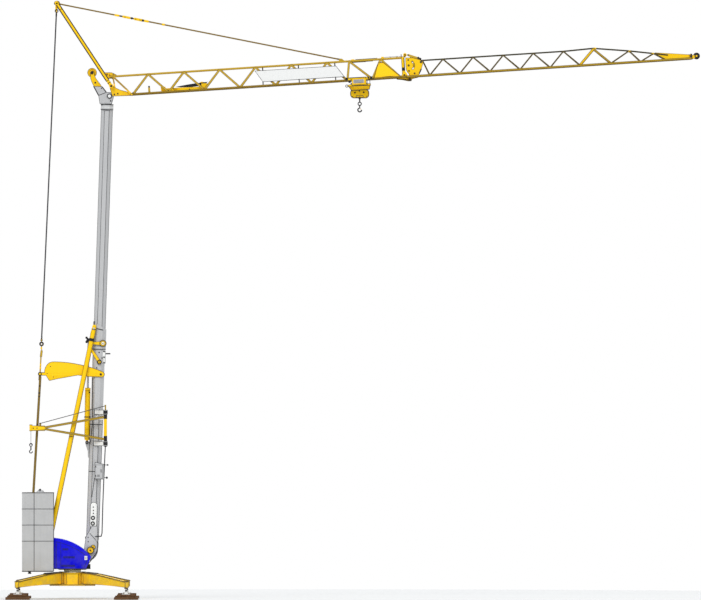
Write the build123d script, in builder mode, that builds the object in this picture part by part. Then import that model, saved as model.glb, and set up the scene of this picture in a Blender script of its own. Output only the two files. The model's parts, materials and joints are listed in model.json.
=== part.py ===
from build123d import *
import os
from math import cos, radians, sin, sqrt, tan

# Self-erecting tower crane, set up for work. Millimetres, +Z up, jib along +X.
# The origin is on the slewing axis at ground level.

os.makedirs("parts", exist_ok=True)

# Fits
running_gap = 0.3
plate_gap = 2
cut_over = 20
far = 4000

# Timber stacks and levelling jacks
foot_spread = 4600
timber_lower_side = 1030
timber_upper_side = 790
timber_layer = 110
jack_plate_side = 360
jack_plate_thickness = 25
jack_screw_diameter = 80
jack_socket_diameter = 132
jack_socket_bottom = 467
jack_socket_top = 790
jack_socket_cap = 60
jack_cone_height = 40
jack_cone_taper = 30

# Chassis
hub_half = 570
hub_corner_cut = 330
hub_bottom = 620
hub_top = 1130
hub_base_half = 956
hub_base_thickness = 45
hub_lug_thickness = 40
hub_lug_radius = 95
hub_lug_inset = 260
hub_rib_length = 500
hub_rib_proud = 20
hub_rib_drop = 60
arm_pin_reach = 655
arm_pin_diameter = 90
arm_barrel_diameter = 150
arm_web_width = 210
arm_flange_width = 260
arm_flange_thickness = 22
arm_end_top = 770
arm_end_bottom = 520
arm_root_bottom = 640
arm_neck = 120
arm_web_gap = 5
arm_web_drop = 4
arm_shoulder_reach = 700
arm_shoulder_drop = 60
arm_knee_reach = 900
arm_knee_rise = 155
arm_knee_belly = 75
arm_overhang = 50

# Slewing ring
ring_plate_radius = 595
ring_plate_thickness = 32
ring_race_radius = 357
ring_race_bore = 250
ring_race_height = 42

# Platform frame
beam_centre_y = 270
beam_width = 120
beam_height = 200
beam_wall = 10
beam_front = 760
beam_lug_half = 110
cross_member = 100
cross_member_x = -650
cross_member_drop = 40
deck_opening = 300
tray_inset = 50
tray_end_gap = 15
pin_overhang = 12
deck_thickness = 27
deck_half_width = 750
tray_thickness = 30
tray_clearance = 35
strut_bracket_top = 1560

# Ballast
ballast_front = -803
ballast_length = 1330
ballast_width = 1900
ballast_base_height = 1274
ballast_block_height = 683
ballast_edge = 20
ballast_strut_notch_half = 500
ballast_strut_notch_back = -1330
ballast_tie_notch_half = 345
ballast_tie_notch_back = -1935
ballast_groove_x = -1620
ballast_groove_width = 26
ballast_groove_depth = 14
ballast_block_count = 3
lifting_plate_x = -1385
lifting_plate_length = 340
lifting_plate_width = 220
lifting_plate_height = 30
lifting_eye_rise = 90
lifting_eye_radius = 38
lifting_eye_width = 30
lifting_neck_length = 50

# Machinery cover
cover_back = -795
cover_wall = 8
cover_slot_half = 400
cover_slot_back = 330
cover_height = 1292
cover_shoulder_x = 327
cover_shoulder_rise = 918
cover_front_x = 803
cover_front_rise = 501
cover_nose_x = 714
cover_nose_rise = 293
cover_toe_x = 590

# Mast
mast_lean = 1.93
mast_axis_x = 850
mast_axis_z = 2507
lower_mast_width = 520
lower_mast_wall = 10
lower_mast_start = -255
lower_mast_top = 8959
upper_mast_width = 480
upper_mast_wall = 8
upper_mast_start = 7797
upper_mast_top = 18279
guide_height = 150
mast_collar_width = 572
mast_collar_start = 8100
mast_collar_rear_rise = 315
mast_pivot_x = 574
mast_pivot_z = 1751
mast_pivot_diameter = 80
mast_cheek_thickness = 25
mast_cheek_eye = 130
mast_cheek_outline = [(0, 884), (255, 1349), (486, 1349), (497, 332)]
mast_cheek_belly = (331, -21)
foot_sheave_x = 765
foot_sheave_z = 2074
foot_sheave_radius = 157
foot_idler_x = 880
foot_idler_z = 2210
foot_idler_radius = 98
foot_sheave_axle = 22
foot_sheave_width = 50
foot_idler_axle = 18
foot_idler_width = 30
foot_sheave_gap = 5

# Back struts and erecting gear
strut_y = 380
strut_diameter = 170
strut_wall = 8
strut_top_x = 914
strut_top_z = 11500
strut_lean = 0.209
strut_pin_diameter = 80
strut_pin_start = 150
strut_pin_overhang = 20
strut_top_overhang = 75
strut_foot_overlap = 80
crosshead_height = 120
crosshead_collar = 20
crosshead_back = 50
crosshead_front = 60
cylinder_foot_x = 616
cylinder_foot_z = 6660
cylinder_head_x = 680
cylinder_head_z = 11020
cylinder_barrel_diameter = 210
cylinder_barrel_start = 90
cylinder_barrel_end = 2310
cylinder_rod_diameter = 90
cylinder_eye_half = 55
cylinder_eye_radius = 72
cylinder_pin_radius = 35
cylinder_cap_length = 90
cylinder_cap_wall = 12
cylinder_bracket_nose = 70
cylinder_bracket_rise = 40
cylinder_bracket_chin = 60
cylinder_bracket_waist = 400
cylinder_bracket_hem = 620
cylinder_bracket_drop = 680
cylinder_bracket_depth = 60
cylinder_bracket_plate = 20
mast_weld_sink = 5
spreader_thickness = 20
spreader_inner_y = 265
spreader_pin_x = 1206
spreader_pin_z = 9550
spreader_pin_diameter = 70
spreader_pin_overhang = 8
spreader_reach = 2587
spreader_tie_rise = 17
spreader_upper_edge = [(-2383, 42), (-2341, 314), (-2154, 505), (-1920, 531), (-1486, 505), (-972, 425)]
spreader_upper_edge += [(-326, 259), (82, 102)]
spreader_tip = [(150, 4), (82, -111)]
spreader_lower_edge = [(-543, -94), (-972, -34), (-1486, -123), (-1826, -187), (-2188, -268)]
spreader_eye_radius = 75
spreader_eye_height = 60
spreader_eye_length = 281
spreader_brace_radius = 50
spreader_brace_offset = (361, 53)
tie_foot_x = -1832
tie_foot_z = 1657
tie_width = 80
tie_thickness = 25
tie_inner_y = 262
tie_tube_diameter = 90
tie_tube_overhang = 15
tie_eye_radius = 60
tie_lug_radius = 65
tie_lug_thickness = 28
tie_pin_radius = 25
tie_hanger_radius = 70
tie_hanger_thickness = 30
tie_hanger_drop = 260
tie_hanger_top_half = 45
tie_hanger_low_half = 45
tie_hanger_lean = 10
tie_bar_top_offset = (12, -130)
fork_neck = (41, 743)
fork_neck_diameter = 60
fork_plate = [(-4, 733), (86, 733), (111, 993), (31, 993)]
fork_plate_half = 50
fork_shank = [(71, 973), (65, 1213)]
fork_shank_diameter = 36
fork_ring = (65, 1273)
fork_ring_radius = 95
fork_ring_bore = 38
fork_ring_half = 30
rope_socket_length = 210
rope_socket_diameter = 50
rear_rope_rise = (70, 1553)
rear_rope_diameter = 28
upper_link_z = 10863
upper_link_offset = 164
upper_link_radius = 120
upper_link_strut_z = 10875
lower_link_z = 10072
lower_link_offset = 38
lower_link_radius = 98
lower_link_strut_z = 10667
link_thickness = 40
link_strap_half = 45
link_boss_proud = 20
link_root_share = 0.7
link_boss_share = 0.6

# Cabinet and mast line
cabinet_x = 965
cabinet_width = 370
cabinet_bottom = 5092
cabinet_height = 718
cabinet_depth = 250
cabinet_slope = 80
mast_line_diameter = 26
mast_line_drop = 240
mast_line_foot_x = 1250
mast_line_foot_z = 2700
mast_line_stand = 80
mast_line_arm_x = 1020
mast_line_arm_end = 1265
mast_line_arm_height = 30
mast_line_arm_half = 15
mast_line_arm_gap = 1

# Davit for loading the ballast
davit_x = 1405
davit_y = -560
davit_post_diameter = 123
davit_post_bottom = 6700
davit_pintle_diameter = 60
davit_pintle_top = 8245
davit_bearing_height = 180
davit_bearing_diameter = 180
davit_tip_x = -1186
davit_sleeve_x = -1760
davit_sleeve_bottom = 7145
davit_shackle_z = 6555
davit_bar = 84
davit_stay_diameter = 32
davit_rope_diameter = 16
davit_hook_z = 6270
davit_bearing_rise = 1150
davit_bearing_root = 90
davit_bearing_neck = 75
davit_upper_root_z = 7745
davit_upper_tip_z = 7290
davit_lower_root_z = 6790
davit_lower_tip_z = 7230
davit_head_x = -1730
davit_head_low = 7155
davit_head_high = 7365
davit_sleeve_diameter = 120
davit_sleeve_top = 7410
davit_stay_tip_z = 7455
davit_stay_root_z = 8212
davit_lug_x = -1400
davit_lug_length = 70
davit_lug_half = 20
davit_lug_top = 7485
davit_shackle_radius = 76
davit_shackle_bore = 34
davit_shackle_half = 18
davit_swivel_diameter = 52
davit_hook_radius = 62
davit_hook_bar = 40

# Mast head and apex strut
head_width = 470
head_collar_proud = 25
head_collar_height = 260
head_plate = [(-297, 266), (-357, 627), (-569, 1014), (-208, 997)]
head_plate += [(-25, 759), (196, 750), (277, 555), (196, 266)]
head_arm_back = [(-556, 1014), (-624, 1154), (-692, 1337), (-692, 1524)]
head_arm_front = [(-536, 1524), (-454, 1324), (-348, 1180), (-226, 998.3)]
head_arm_crown = (-633, 1664)
head_arm_inner_y = 55
head_arm_thickness = 25
head_sheave_offset = (-633, 1592)
head_sheave_axle = 40
head_sheave_half = 45
apex_reach = 2308
apex_rise = 3507
apex_half_y = 90
apex_foot_offset = (183, 1026)
apex_foot_y = 335
apex_foot_eye = 90
apex_foot_half = 69
apex_cross_shares = (0.139, 0.484, 0.826)
apex_cross_radius = 40
apex_tube_proud = 90
apex_lug_half = 14
apex_lug_share = 0.64
apex_lug_width = 45
rope_head_offset = (-25, -409)
rope_head_socket = 140
rope_head_diameter = 60
apex_leg_diameter = 140
apex_leg_wall = 7
apex_tube_radius = 75
apex_pin_diameter = 80
head_sheave_radius = 200
forestay_diameter = 62
forestay_setback = 218
forestay_rise = 90
forestay_pin_radius = 18
forestay_hook_radius = 118
forestay_hook_half = 16
forestay_clearance = 150
forestay_eye_radius = 40
forestay_eye_half = 12
forestay_eye_height = 50
forestay_tongue_start = 30
forestay_tongue_end = 200
forestay_mouth_x = 65
forestay_lug = 18
forestay_lug_outline = [(-110, -52), (-50, 35), (50, 35), (140, -52)]
forestay_mouth_z = 38

# Jib
jib_offset = (1101, 669)
jib_slope = 3.685
jib_half_gauge = 500
jib_chord = 90
jib_chord_wall = 5
jib_rail_width = 48
jib_rail_thickness = 12
gusset_thickness = 25
root_gusset = [(-51, -102), (-51, -29), (26, 64), (132, -55), (370, -169), (51, -429)]
root_gusset_nose = [(-47, 55), (-47, -45)]
root_plate_head = [(-58, -63), (-63, 62), (52, 77)]
root_plate_tail = [(90, 170), (293, 55), (193, -80), (-52, -75)]
root_plate_half = 16
root_block_half = 42
root_block_drop = 68
root_block_width = 124
first_bay_shift = 136
first_bay_foot = (151, -87)
first_bay_bar = 60
chord_seat_share = 0.17
inner_depth = 815
inner_pitch = 1523
inner_bays = 7
inner_top_shift = 700
inner_top_start = -933
inner_bar = 78
inner_bar_thickness = 46
top_chord_diameter = 92
top_chord_wall = 6
inner_last_lows = (1062, 2262)
inner_last_highs = (122, 1462)
inner_end_length = 240
inner_top_end_gap = 80
inner_web_half = 6
inner_web_start = [(400, 60), (15, 20)]
inner_web_peak = [(-40, -15), (90, -15)]
inner_web_end = [(-20, 20), (-410, 95)]
hinge_reach = 150
hinge_pin_v = -125
hinge_pin_diameter = 70
section_gap = 15
portal_setback = 95
portal_y = 405
portal_half = 45
portal_post_half = 60
portal_foot = 70
hinge_plate = 25
hinge_pin_proud = 34
hinge_gusset_heel = 330
hinge_gusset_tail = 250
hinge_gusset_shoulder = 100
hinge_gusset_height = 120
hinge_gusset_rise = 55
hinge_eye_half = 60
hinge_eye_rise = 40
outer_hinge_outline = [(-80, -60), (330, 55), (430, 125), (560, 745), (390, 835)]
outer_hinge_outline += [(-80, 835), (-80, 475), (20, 325), (-60, 60)]
hinge_slot_centre = (-11, 380)
hinge_slot_inner = 200
hinge_slot_outer = 255
hinge_slot_half_angle = 60
hinge_slot_steps = 6
hinge_hole_radius = 45
hinge_holes = [(-20, 605), (-5, 165), (225, 60)]
hinge_cross_u = 245
outer_first_bay = 990
outer_pitch = 1282
outer_bays = 8
outer_depth = 650
outer_level_bays = 5
outer_peak_rise = 45
outer_taper = [(1506, 206), (2537, 383), (3144, 490)]
outer_last_low_cut = 190
outer_tip_bay = 1079
outer_first_lean = 270
outer_top_shift = 600
outer_bar = 52
outer_bar_thickness = 36
outer_top_diameter = 66
outer_chord_setback = 60
outer_top_wall = 5

# Panel, trolley winch and jib tip
panel_corners = [(5241, 632), (8690, 620), (9020, 142), (5550, 148)]
panel_thickness = 22
panel_stand = 36
winch_start_u = 1217
winch_length = 1743
winch_bed_inner = 110
winch_bed_outer = 170
winch_bed_back = 150
winch_bed_front = 120
winch_cheek = 20
winch_cheek_half = 150
winch_cheek_top_half = 90
winch_cheek_front = 130
winch_cheek_base = 60
winch_cross = 40
winch_drum_v = 245
winch_drum_radius = 80
winch_flange_proud = 30
winch_flange = 12
winch_motor_radius = 60
winch_motor_length = 160
tip_sheave_reach = 220
tip_sheave_v = 90
tip_sheave_radius = 145
tip_sheave_half = 24
tip_axle_radius = 20
tip_axle_half = 60
tip_fin_half = 20
tip_fin_height = 160
tip_fin_low = 30
tip_fin_back = 1530
tip_fin_low_back = 1230
tip_fin_back_height = 345
tip_cheek_inner = 30
tip_cheek_outer = 50
tip_cheek_back = 80
tip_cheek_height = 150
tip_cheek_low = 40
tip_cheek_nose = 35

# Trolley, hook block and hook
trolley_u = 9642
trolley_wheel_radius = 52
trolley_wheel_width = 38
trolley_wheel_base = 1054
trolley_plate = 14
trolley_wheel_axle = 14
trolley_side_gap = 8
trolley_half_length = 590
trolley_half_top = 95
trolley_step_v = 20
trolley_waist_half = 293
trolley_waist_v = -170
trolley_cross_top = -197
trolley_cross_bottom = -262
trolley_cross_half = 35
trolley_cross_places = (-430, 410)
trolley_skirt = (490, 470)
cage_inner_y = 90
cage_plate = 12
cage_bottom = -430
cage_bottom_reach = (365, 400)
hook_block_width = 773
hook_block_height = 365
hook_block_half = 75
fall_diameter = 14
fall_sheave_pitch = 380
fall_sheave_radius = 110
fall_sheave_v = -270
fall_sheave_half = 22
fall_axle_radius = 20
hook_block_drop = 135
hook_block_sheave_rise = 200
hook_block_corner = 140
hook_block_plate = 12
hook_beam_length = 300
hook_beam_height = 80
hook_beam_rise = 60
hook_bar = 44
hook_radius = 84
hook_drop = 512
hook_ring_drop = 250
hook_ring_radius = 80
hook_ring_half = 30


# Levels and stations that follow from the sizes above

timber_top = 2 * timber_layer
ring_bottom = hub_top
lower_race_top = ring_bottom + ring_plate_thickness + ring_race_height
upper_race_bottom = lower_race_top + running_gap
platform_bottom = upper_race_bottom + ring_race_height + ring_plate_thickness
deck_top = platform_bottom + deck_thickness
tray_bottom = hub_top + tray_clearance
tray_top = tray_bottom + tray_thickness
beam_top = platform_bottom + beam_height
ballast_back = ballast_front - ballast_length
foot = foot_spread / 2
foot_reach = foot * sqrt(2)
lean = radians(mast_lean)
mast_half = lower_mast_width / 2
mast_plane = Plane(
    origin=(mast_axis_x, 0, mast_axis_z),
    x_dir=(cos(lean), 0, -sin(lean)),
    z_dir=(sin(lean), 0, cos(lean)),
)
mast_head_x = mast_axis_x + upper_mast_top * sin(lean)
mast_head_z = mast_axis_z + upper_mast_top * cos(lean)
tie_head_x = spreader_pin_x - spreader_reach
tie_head_z = spreader_pin_z + spreader_tie_rise
apex_foot_x = mast_head_x + apex_foot_offset[0]
apex_foot_z = mast_head_z + apex_foot_offset[1]
apex_x = apex_foot_x - apex_reach
apex_z = apex_foot_z + apex_rise
head_sheave_x = mast_head_x + head_sheave_offset[0]
head_sheave_z = mast_head_z + head_sheave_offset[1]
jib_x = mast_head_x + jib_offset[0]
jib_z = mast_head_z + jib_offset[1]
inner_reach = (inner_bays - 1) * inner_pitch
inner_end_u = inner_reach + inner_last_lows[1] + inner_end_length
forestay_end_u = inner_reach - forestay_setback
forestay_end_v = inner_depth + forestay_rise
hinge_pin_u = inner_end_u + hinge_reach
outer_start_u = inner_end_u + section_gap
outer_first_node_u = outer_start_u + outer_first_bay
outer_last_low_u = outer_first_node_u + outer_bays * outer_pitch - outer_last_low_cut
outer_end_u = outer_last_low_u + outer_tip_bay
outer_peak_u = outer_first_node_u + outer_top_shift + outer_level_bays * outer_pitch
winch_drum_u = winch_start_u + winch_length
tip_sheave_u = outer_end_u + tip_sheave_reach
slope = radians(jib_slope)
jib_plane = Plane(
    origin=(jib_x, 0, jib_z),
    x_dir=(cos(slope), 0, sin(slope)),
    z_dir=(-sin(slope), 0, cos(slope)),
)


def mast_x(z):
    """X of the mast's axis at height z."""
    return mast_axis_x + (z - mast_axis_z) * tan(lean)


def mast_rear_x(z):
    """X of the lower mast's rear flat at height z."""
    return mast_x(z) - mast_half / cos(lean)


def strut_x(z):
    """X of a back strut's axis at height z."""
    return strut_top_x - (strut_top_z - z) * strut_lean


def placed(points, x, z):
    """An outline's points, moved to their origin at x and z."""
    return [(x + dx, z + dz) for dx, dz in points]


def jib_point(u, y, v):
    """The point u along the jib from its root, y across and v square to it."""
    return jib_plane.from_local_coords(Vector(u, y, v))


def outline(points, y_low, y_high, mode=Mode.ADD):
    """A plate whose outline lies in the XZ plane, from y_low to y_high."""
    with BuildSketch(Plane.XZ.offset(-y_high)) as profile:
        with BuildLine():
            Polyline(*points, close=True)
        make_face()
    extrude(profile.sketch, amount=y_high - y_low, mode=mode)


def across(x, z, radius, y_low, y_high, mode=Mode.ADD):
    """A round bar, boss or hole along Y."""
    with BuildSketch(Plane.XZ.offset(-y_high)) as profile:
        with Locations((x, z)):
            Circle(radius)
    extrude(profile.sketch, amount=y_high - y_low, mode=mode)


def beam(start, end, width, depth, mode=Mode.ADD):
    """A straight rectangular bar: width is across, depth lies in the XZ plane."""
    start, end = Vector(*start), Vector(*end)
    length = (end - start).length
    with BuildSketch(Plane(origin=start, x_dir=(0, 1, 0), z_dir=end - start)) as profile:
        Rectangle(width, depth)
    extrude(profile.sketch, amount=length, mode=mode)


def tube(start, end, diameter, wall=0, mode=Mode.ADD):
    """A straight round bar, or a tube where a wall is given."""
    start, end = Vector(*start), Vector(*end)
    length = (end - start).length
    with BuildSketch(Plane(origin=start, x_dir=(0, 1, 0), z_dir=end - start)) as profile:
        Circle(diameter / 2)
        if wall:
            Circle(diameter / 2 - wall, mode=Mode.SUBTRACT)
    extrude(profile.sketch, amount=length, mode=mode)


def bar_solid(start, end, width, depth):
    """A lattice bar by itself, to be joined with others in one step."""
    start, end = Vector(*start), Vector(*end)
    middle = (start + end) / 2
    outward = Vector(0, middle.Y, 0) if abs(middle.Y) > 1 else Vector(0, 1, 0)
    with BuildSketch(Plane(origin=start, x_dir=outward, z_dir=end - start), mode=Mode.PRIVATE) as section:
        Rectangle(depth, width)
    return extrude(section.sketch, amount=(end - start).length, mode=Mode.PRIVATE)


def jib_plate(points, y_low, y_high, mode=Mode.ADD):
    """A plate whose outline is given as u and v along the jib."""
    view = Plane(origin=jib_point(0, y_high, 0), x_dir=jib_plane.x_dir, z_dir=(0, -1, 0))
    with BuildSketch(view) as profile:
        with BuildLine():
            Polyline(*points, close=True)
        make_face()
    extrude(profile.sketch, amount=y_high - y_low, mode=mode)


def jib_round(u, v, radius, y_low, y_high, mode=Mode.ADD):
    """A round bar, boss or hole square to the jib's side, centred at u and v."""
    centre = jib_point(u, 0, v)
    across(centre.X, centre.Z, radius, y_low, y_high, mode=mode)


def box_between(low, high, mode=Mode.ADD):
    """A box from its lowest corner to its highest."""
    middle = [(a + b) / 2 for a, b in zip(low, high)]
    with Locations(tuple(middle)):
        Box(*[b - a for a, b in zip(low, high)], mode=mode)


def hook_shape(x, y, z, radius, bar):
    """A hook of round bar, open towards +X, whose throat is centred at x, y and z."""
    with BuildLine(mode=Mode.PRIVATE) as path:
        CenterArc((0, 0), radius, 90, -280)
    view = Plane(origin=(x, y, z), x_dir=(-1, 0, 0), z_dir=(0, 1, 0))
    wire = view.from_local_coords(path.line)
    with BuildSketch(Plane(origin=wire @ 0, z_dir=wire % 0), mode=Mode.PRIVATE) as section:
        Circle(bar / 2)
    add(sweep(section.sketch, path=wire, mode=Mode.PRIVATE))


def finish(piece, name):
    """Label a piece and write it."""
    piece.part.label = name
    export_step(piece.part, f"parts/{name}.step")


corners = [(sx, sy) for sx in (1, -1) for sy in (1, -1)]


# Timber stacks: two crossed layers under each foot

with BuildPart() as timber_stacks:
    for sx, sy in corners:
        with Locations((sx * foot, sy * foot, timber_layer / 2)):
            Box(timber_lower_side, timber_lower_side, timber_layer)
        with Locations((sx * foot, sy * foot, timber_layer * 1.5)):
            Box(timber_upper_side, timber_upper_side, timber_layer)

finish(timber_stacks, "timber_stacks")


# Levelling jacks: a foot plate and a screw that stands in the arm's socket

with BuildPart() as levelling_jacks:
    for sx, sy in corners:
        with Locations((sx * foot, sy * foot, timber_top + jack_plate_thickness / 2)):
            Box(jack_plate_side, jack_plate_side, jack_plate_thickness)
        with BuildSketch(Plane.XY.offset(timber_top + jack_plate_thickness)):
            with Locations((sx * foot, sy * foot)):
                Circle(jack_screw_diameter / 2)
        extrude(amount=jack_socket_top - jack_socket_cap - timber_top - jack_plate_thickness)
        with BuildSketch(Plane.XY.offset(timber_top + jack_plate_thickness)):
            with Locations((sx * foot, sy * foot)):
                Circle(jack_screw_diameter)
        extrude(amount=jack_cone_height, taper=jack_cone_taper)

finish(levelling_jacks, "levelling_jacks")


# Chassis hub: an eight-sided box with lugs for the arms at its cut corners

with BuildPart() as base_hub:
    with BuildSketch(Plane.XY.offset(hub_bottom)) as hub_plan:
        Rectangle(2 * hub_half, 2 * hub_half)
        chamfer(hub_plan.vertices(), hub_corner_cut)
    extrude(amount=hub_top - hub_bottom)
    with BuildSketch(Plane.XY.offset(hub_bottom - hub_base_thickness)):
        Rectangle(2 * hub_base_half, 2 * hub_half)
        Rectangle(2 * hub_half, 2 * hub_base_half)
    extrude(amount=hub_base_thickness)
    for level in (hub_bottom, hub_top - hub_lug_thickness):
        with BuildSketch(Plane.XY.offset(level)):
            with PolarLocations(arm_pin_reach, 4, start_angle=45):
                Circle(hub_lug_radius)
            with PolarLocations((arm_pin_reach + hub_lug_inset) / 2, 4, start_angle=45):
                Rectangle(arm_pin_reach - hub_lug_inset, 2 * hub_lug_radius)
        extrude(amount=hub_lug_thickness)
    with BuildSketch(Plane.XY.offset(hub_bottom)):
        with PolarLocations(arm_pin_reach, 4, start_angle=45):
            Circle(arm_pin_diameter / 2)
    extrude(amount=hub_top - hub_bottom)
    with BuildSketch(Plane.XY.offset(hub_bottom)):
        with Locations((hub_half, 0), (-hub_half, 0)):
            Rectangle(2 * hub_rib_proud, hub_rib_length)
        with Locations((0, hub_half), (0, -hub_half)):
            Rectangle(hub_rib_length, 2 * hub_rib_proud)
    extrude(amount=hub_top - hub_bottom - hub_rib_drop)
    with BuildSketch(Plane.XY.offset(hub_bottom - hub_base_thickness)):
        Circle(ring_race_bore)
    extrude(amount=hub_top - hub_bottom + hub_base_thickness, mode=Mode.SUBTRACT)

finish(base_hub, "base_hub")


# Outriggers: curved, tapered box arms that swing on the hub's corner pins

arm_root_top = hub_top - hub_lug_thickness - plate_gap
arm_low = hub_bottom + hub_lug_thickness + plate_gap
arm_web_start = arm_pin_reach + hub_lug_radius + arm_web_gap
arm_web_top = hub_top - arm_web_drop
arm_end = foot_reach + arm_overhang
arm_top_edge = [
    (arm_web_start, arm_web_top),
    (arm_web_start + arm_shoulder_reach, arm_web_top - arm_shoulder_drop),
    (foot_reach - arm_knee_reach, arm_end_top + arm_knee_rise),
    (arm_end, arm_end_top),
]
arm_low_edge = [
    (arm_end, arm_end_bottom),
    (foot_reach - arm_knee_reach, arm_end_bottom + arm_knee_belly),
    (arm_web_start, arm_root_bottom),
]

with BuildPart() as outriggers:
    for sx, sy in corners:
        arm_view = Plane(origin=(0, 0, 0), x_dir=(sx, sy, 0), z_dir=(sy, -sx, 0))
        with BuildSketch(arm_view):
            with BuildLine():
                top = Spline(*arm_top_edge)
                Line(top @ 1, arm_low_edge[0])
                low = Spline(*arm_low_edge)
                Line(low @ 1, top @ 0)
            make_face()
        extrude(amount=arm_web_width / 2, both=True)
        with BuildSketch(arm_view):
            with BuildLine():
                edge = Spline(*arm_top_edge)
                Line(edge @ 1, edge @ 1 - (0, arm_flange_thickness))
                under = Spline(*[(u, z - arm_flange_thickness) for u, z in reversed(arm_top_edge)])
                Line(under @ 1, edge @ 0)
            make_face()
        extrude(amount=arm_flange_width / 2, both=True)
        with BuildSketch(arm_view):
            with Locations((arm_pin_reach + arm_neck / 2, (arm_root_top + arm_low) / 2)):
                Rectangle(arm_neck, arm_root_top - arm_low)
        extrude(amount=arm_barrel_diameter / 2, both=True)
        with BuildSketch(Plane.XY.offset(arm_low)):
            with Locations((sx * arm_pin_reach / sqrt(2), sy * arm_pin_reach / sqrt(2))):
                Circle(arm_barrel_diameter / 2)
        extrude(amount=arm_root_top - arm_low)
        with BuildSketch(Plane.XY.offset(arm_low)):
            with Locations((sx * arm_pin_reach / sqrt(2), sy * arm_pin_reach / sqrt(2))):
                Circle(arm_pin_diameter / 2 + running_gap)
        extrude(amount=arm_root_top - arm_low, mode=Mode.SUBTRACT)
        with BuildSketch(Plane.XY.offset(jack_socket_bottom)):
            with Locations((sx * foot, sy * foot)):
                Circle(jack_socket_diameter / 2)
        extrude(amount=jack_socket_top - jack_socket_bottom)
        with BuildSketch(Plane.XY.offset(jack_socket_bottom)):
            with Locations((sx * foot, sy * foot)):
                Circle(jack_screw_diameter / 2 + running_gap)
        extrude(amount=jack_socket_top - jack_socket_cap - jack_socket_bottom, mode=Mode.SUBTRACT)

finish(outriggers, "outriggers")


# Slewing ring: the lower half is bolted to the chassis, the upper half turns

with BuildPart() as slew_ring_lower:
    with BuildSketch(Plane.XY.offset(ring_bottom)):
        Circle(ring_plate_radius)
        Circle(ring_race_bore, mode=Mode.SUBTRACT)
    extrude(amount=ring_plate_thickness)
    with BuildSketch(Plane.XY.offset(ring_bottom + ring_plate_thickness)):
        Circle(ring_race_radius)
        Circle(ring_race_bore, mode=Mode.SUBTRACT)
    extrude(amount=ring_race_height)

finish(slew_ring_lower, "slew_ring_lower")

with BuildPart() as slew_ring_upper:
    with BuildSketch(Plane.XY.offset(upper_race_bottom)):
        Circle(ring_race_radius)
        Circle(ring_race_bore, mode=Mode.SUBTRACT)
    extrude(amount=ring_race_height)
    with BuildSketch(Plane.XY.offset(upper_race_bottom + ring_race_height)):
        Circle(ring_plate_radius)
        Circle(ring_race_bore, mode=Mode.SUBTRACT)
    extrude(amount=ring_plate_thickness)

finish(slew_ring_upper, "slew_ring_upper")


# Platform frame: two beams, a deck under the cover and a hung tray for the ballast

beam_inner = beam_centre_y - beam_width / 2
beam_outer = beam_centre_y + beam_width / 2
beam_back = ballast_tie_notch_back + tray_end_gap

with BuildPart() as platform_frame:
    for side in (1, -1):
        with BuildSketch(Plane.YZ.offset(beam_back)):
            with Locations((side * beam_centre_y, platform_bottom + beam_height / 2)):
                Rectangle(beam_width, beam_height)
                Rectangle(beam_width - 2 * beam_wall, beam_height - 2 * beam_wall, mode=Mode.SUBTRACT)
        extrude(amount=beam_front - beam_back)
        low, high = sorted((side * beam_outer, side * (strut_y + strut_diameter / 2)))
        bracket_x = strut_x(strut_bracket_top)
        box_between(
            (bracket_x - beam_lug_half, low, platform_bottom),
            (bracket_x + beam_lug_half, high, strut_bracket_top),
        )
        low, high = sorted((side * (mast_half + mast_cheek_thickness + plate_gap), side * beam_outer))
        pivot_lug_low = (mast_pivot_x - beam_lug_half, low, beam_top)
        box_between(pivot_lug_low, (mast_pivot_x + beam_lug_half, high, mast_pivot_z))
        across(mast_pivot_x, mast_pivot_z, beam_lug_half, low, high)
        tie_lug_y = tie_inner_y - plate_gap
        low, high = sorted((side * (tie_lug_y - tie_lug_thickness), side * tie_lug_y))
        tie_lug_low = (tie_foot_x - tie_lug_radius, low, beam_top)
        box_between(tie_lug_low, (tie_foot_x + tie_lug_radius, high, tie_foot_z))
        across(tie_foot_x, tie_foot_z, tie_lug_radius, low, high)
    for x in (beam_back, cross_member_x - cross_member / 2, beam_front - cross_member):
        cross_high = (x + cross_member, beam_inner, beam_top - cross_member_drop)
        box_between((x, -beam_inner, platform_bottom), cross_high)
    with BuildSketch(Plane.XY.offset(platform_bottom)):
        with Locations(((beam_front + cover_back) / 2, 0)):
            Rectangle(beam_front - cover_back, 2 * deck_half_width)
        with Locations((mast_pivot_x, 0)):
            Rectangle(deck_opening, 2 * beam_inner, mode=Mode.SUBTRACT)
    extrude(amount=deck_thickness)
    with BuildSketch(Plane.XY.offset(tray_bottom)):
        with Locations(((ballast_front + ballast_back) / 2, 0)):
            Rectangle(ballast_length, ballast_width - 2 * tray_inset)
    extrude(amount=tray_thickness)
    for side in (1, -1):
        low, high = sorted((side * beam_inner, side * beam_outer))
        box_between((beam_back, low, tray_top), (ballast_front - tray_end_gap, high, platform_bottom))
    pivot_end = beam_outer + pin_overhang
    across(mast_pivot_x, mast_pivot_z, mast_pivot_diameter / 2, -pivot_end, pivot_end)
    tie_pin_end = tie_inner_y + tie_thickness + pin_overhang
    across(tie_foot_x, tie_foot_z, tie_pin_radius, -tie_pin_end, tie_pin_end)

finish(platform_frame, "platform_frame")


# Ballast: notched concrete blocks that stand round the struts and ties

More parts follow.
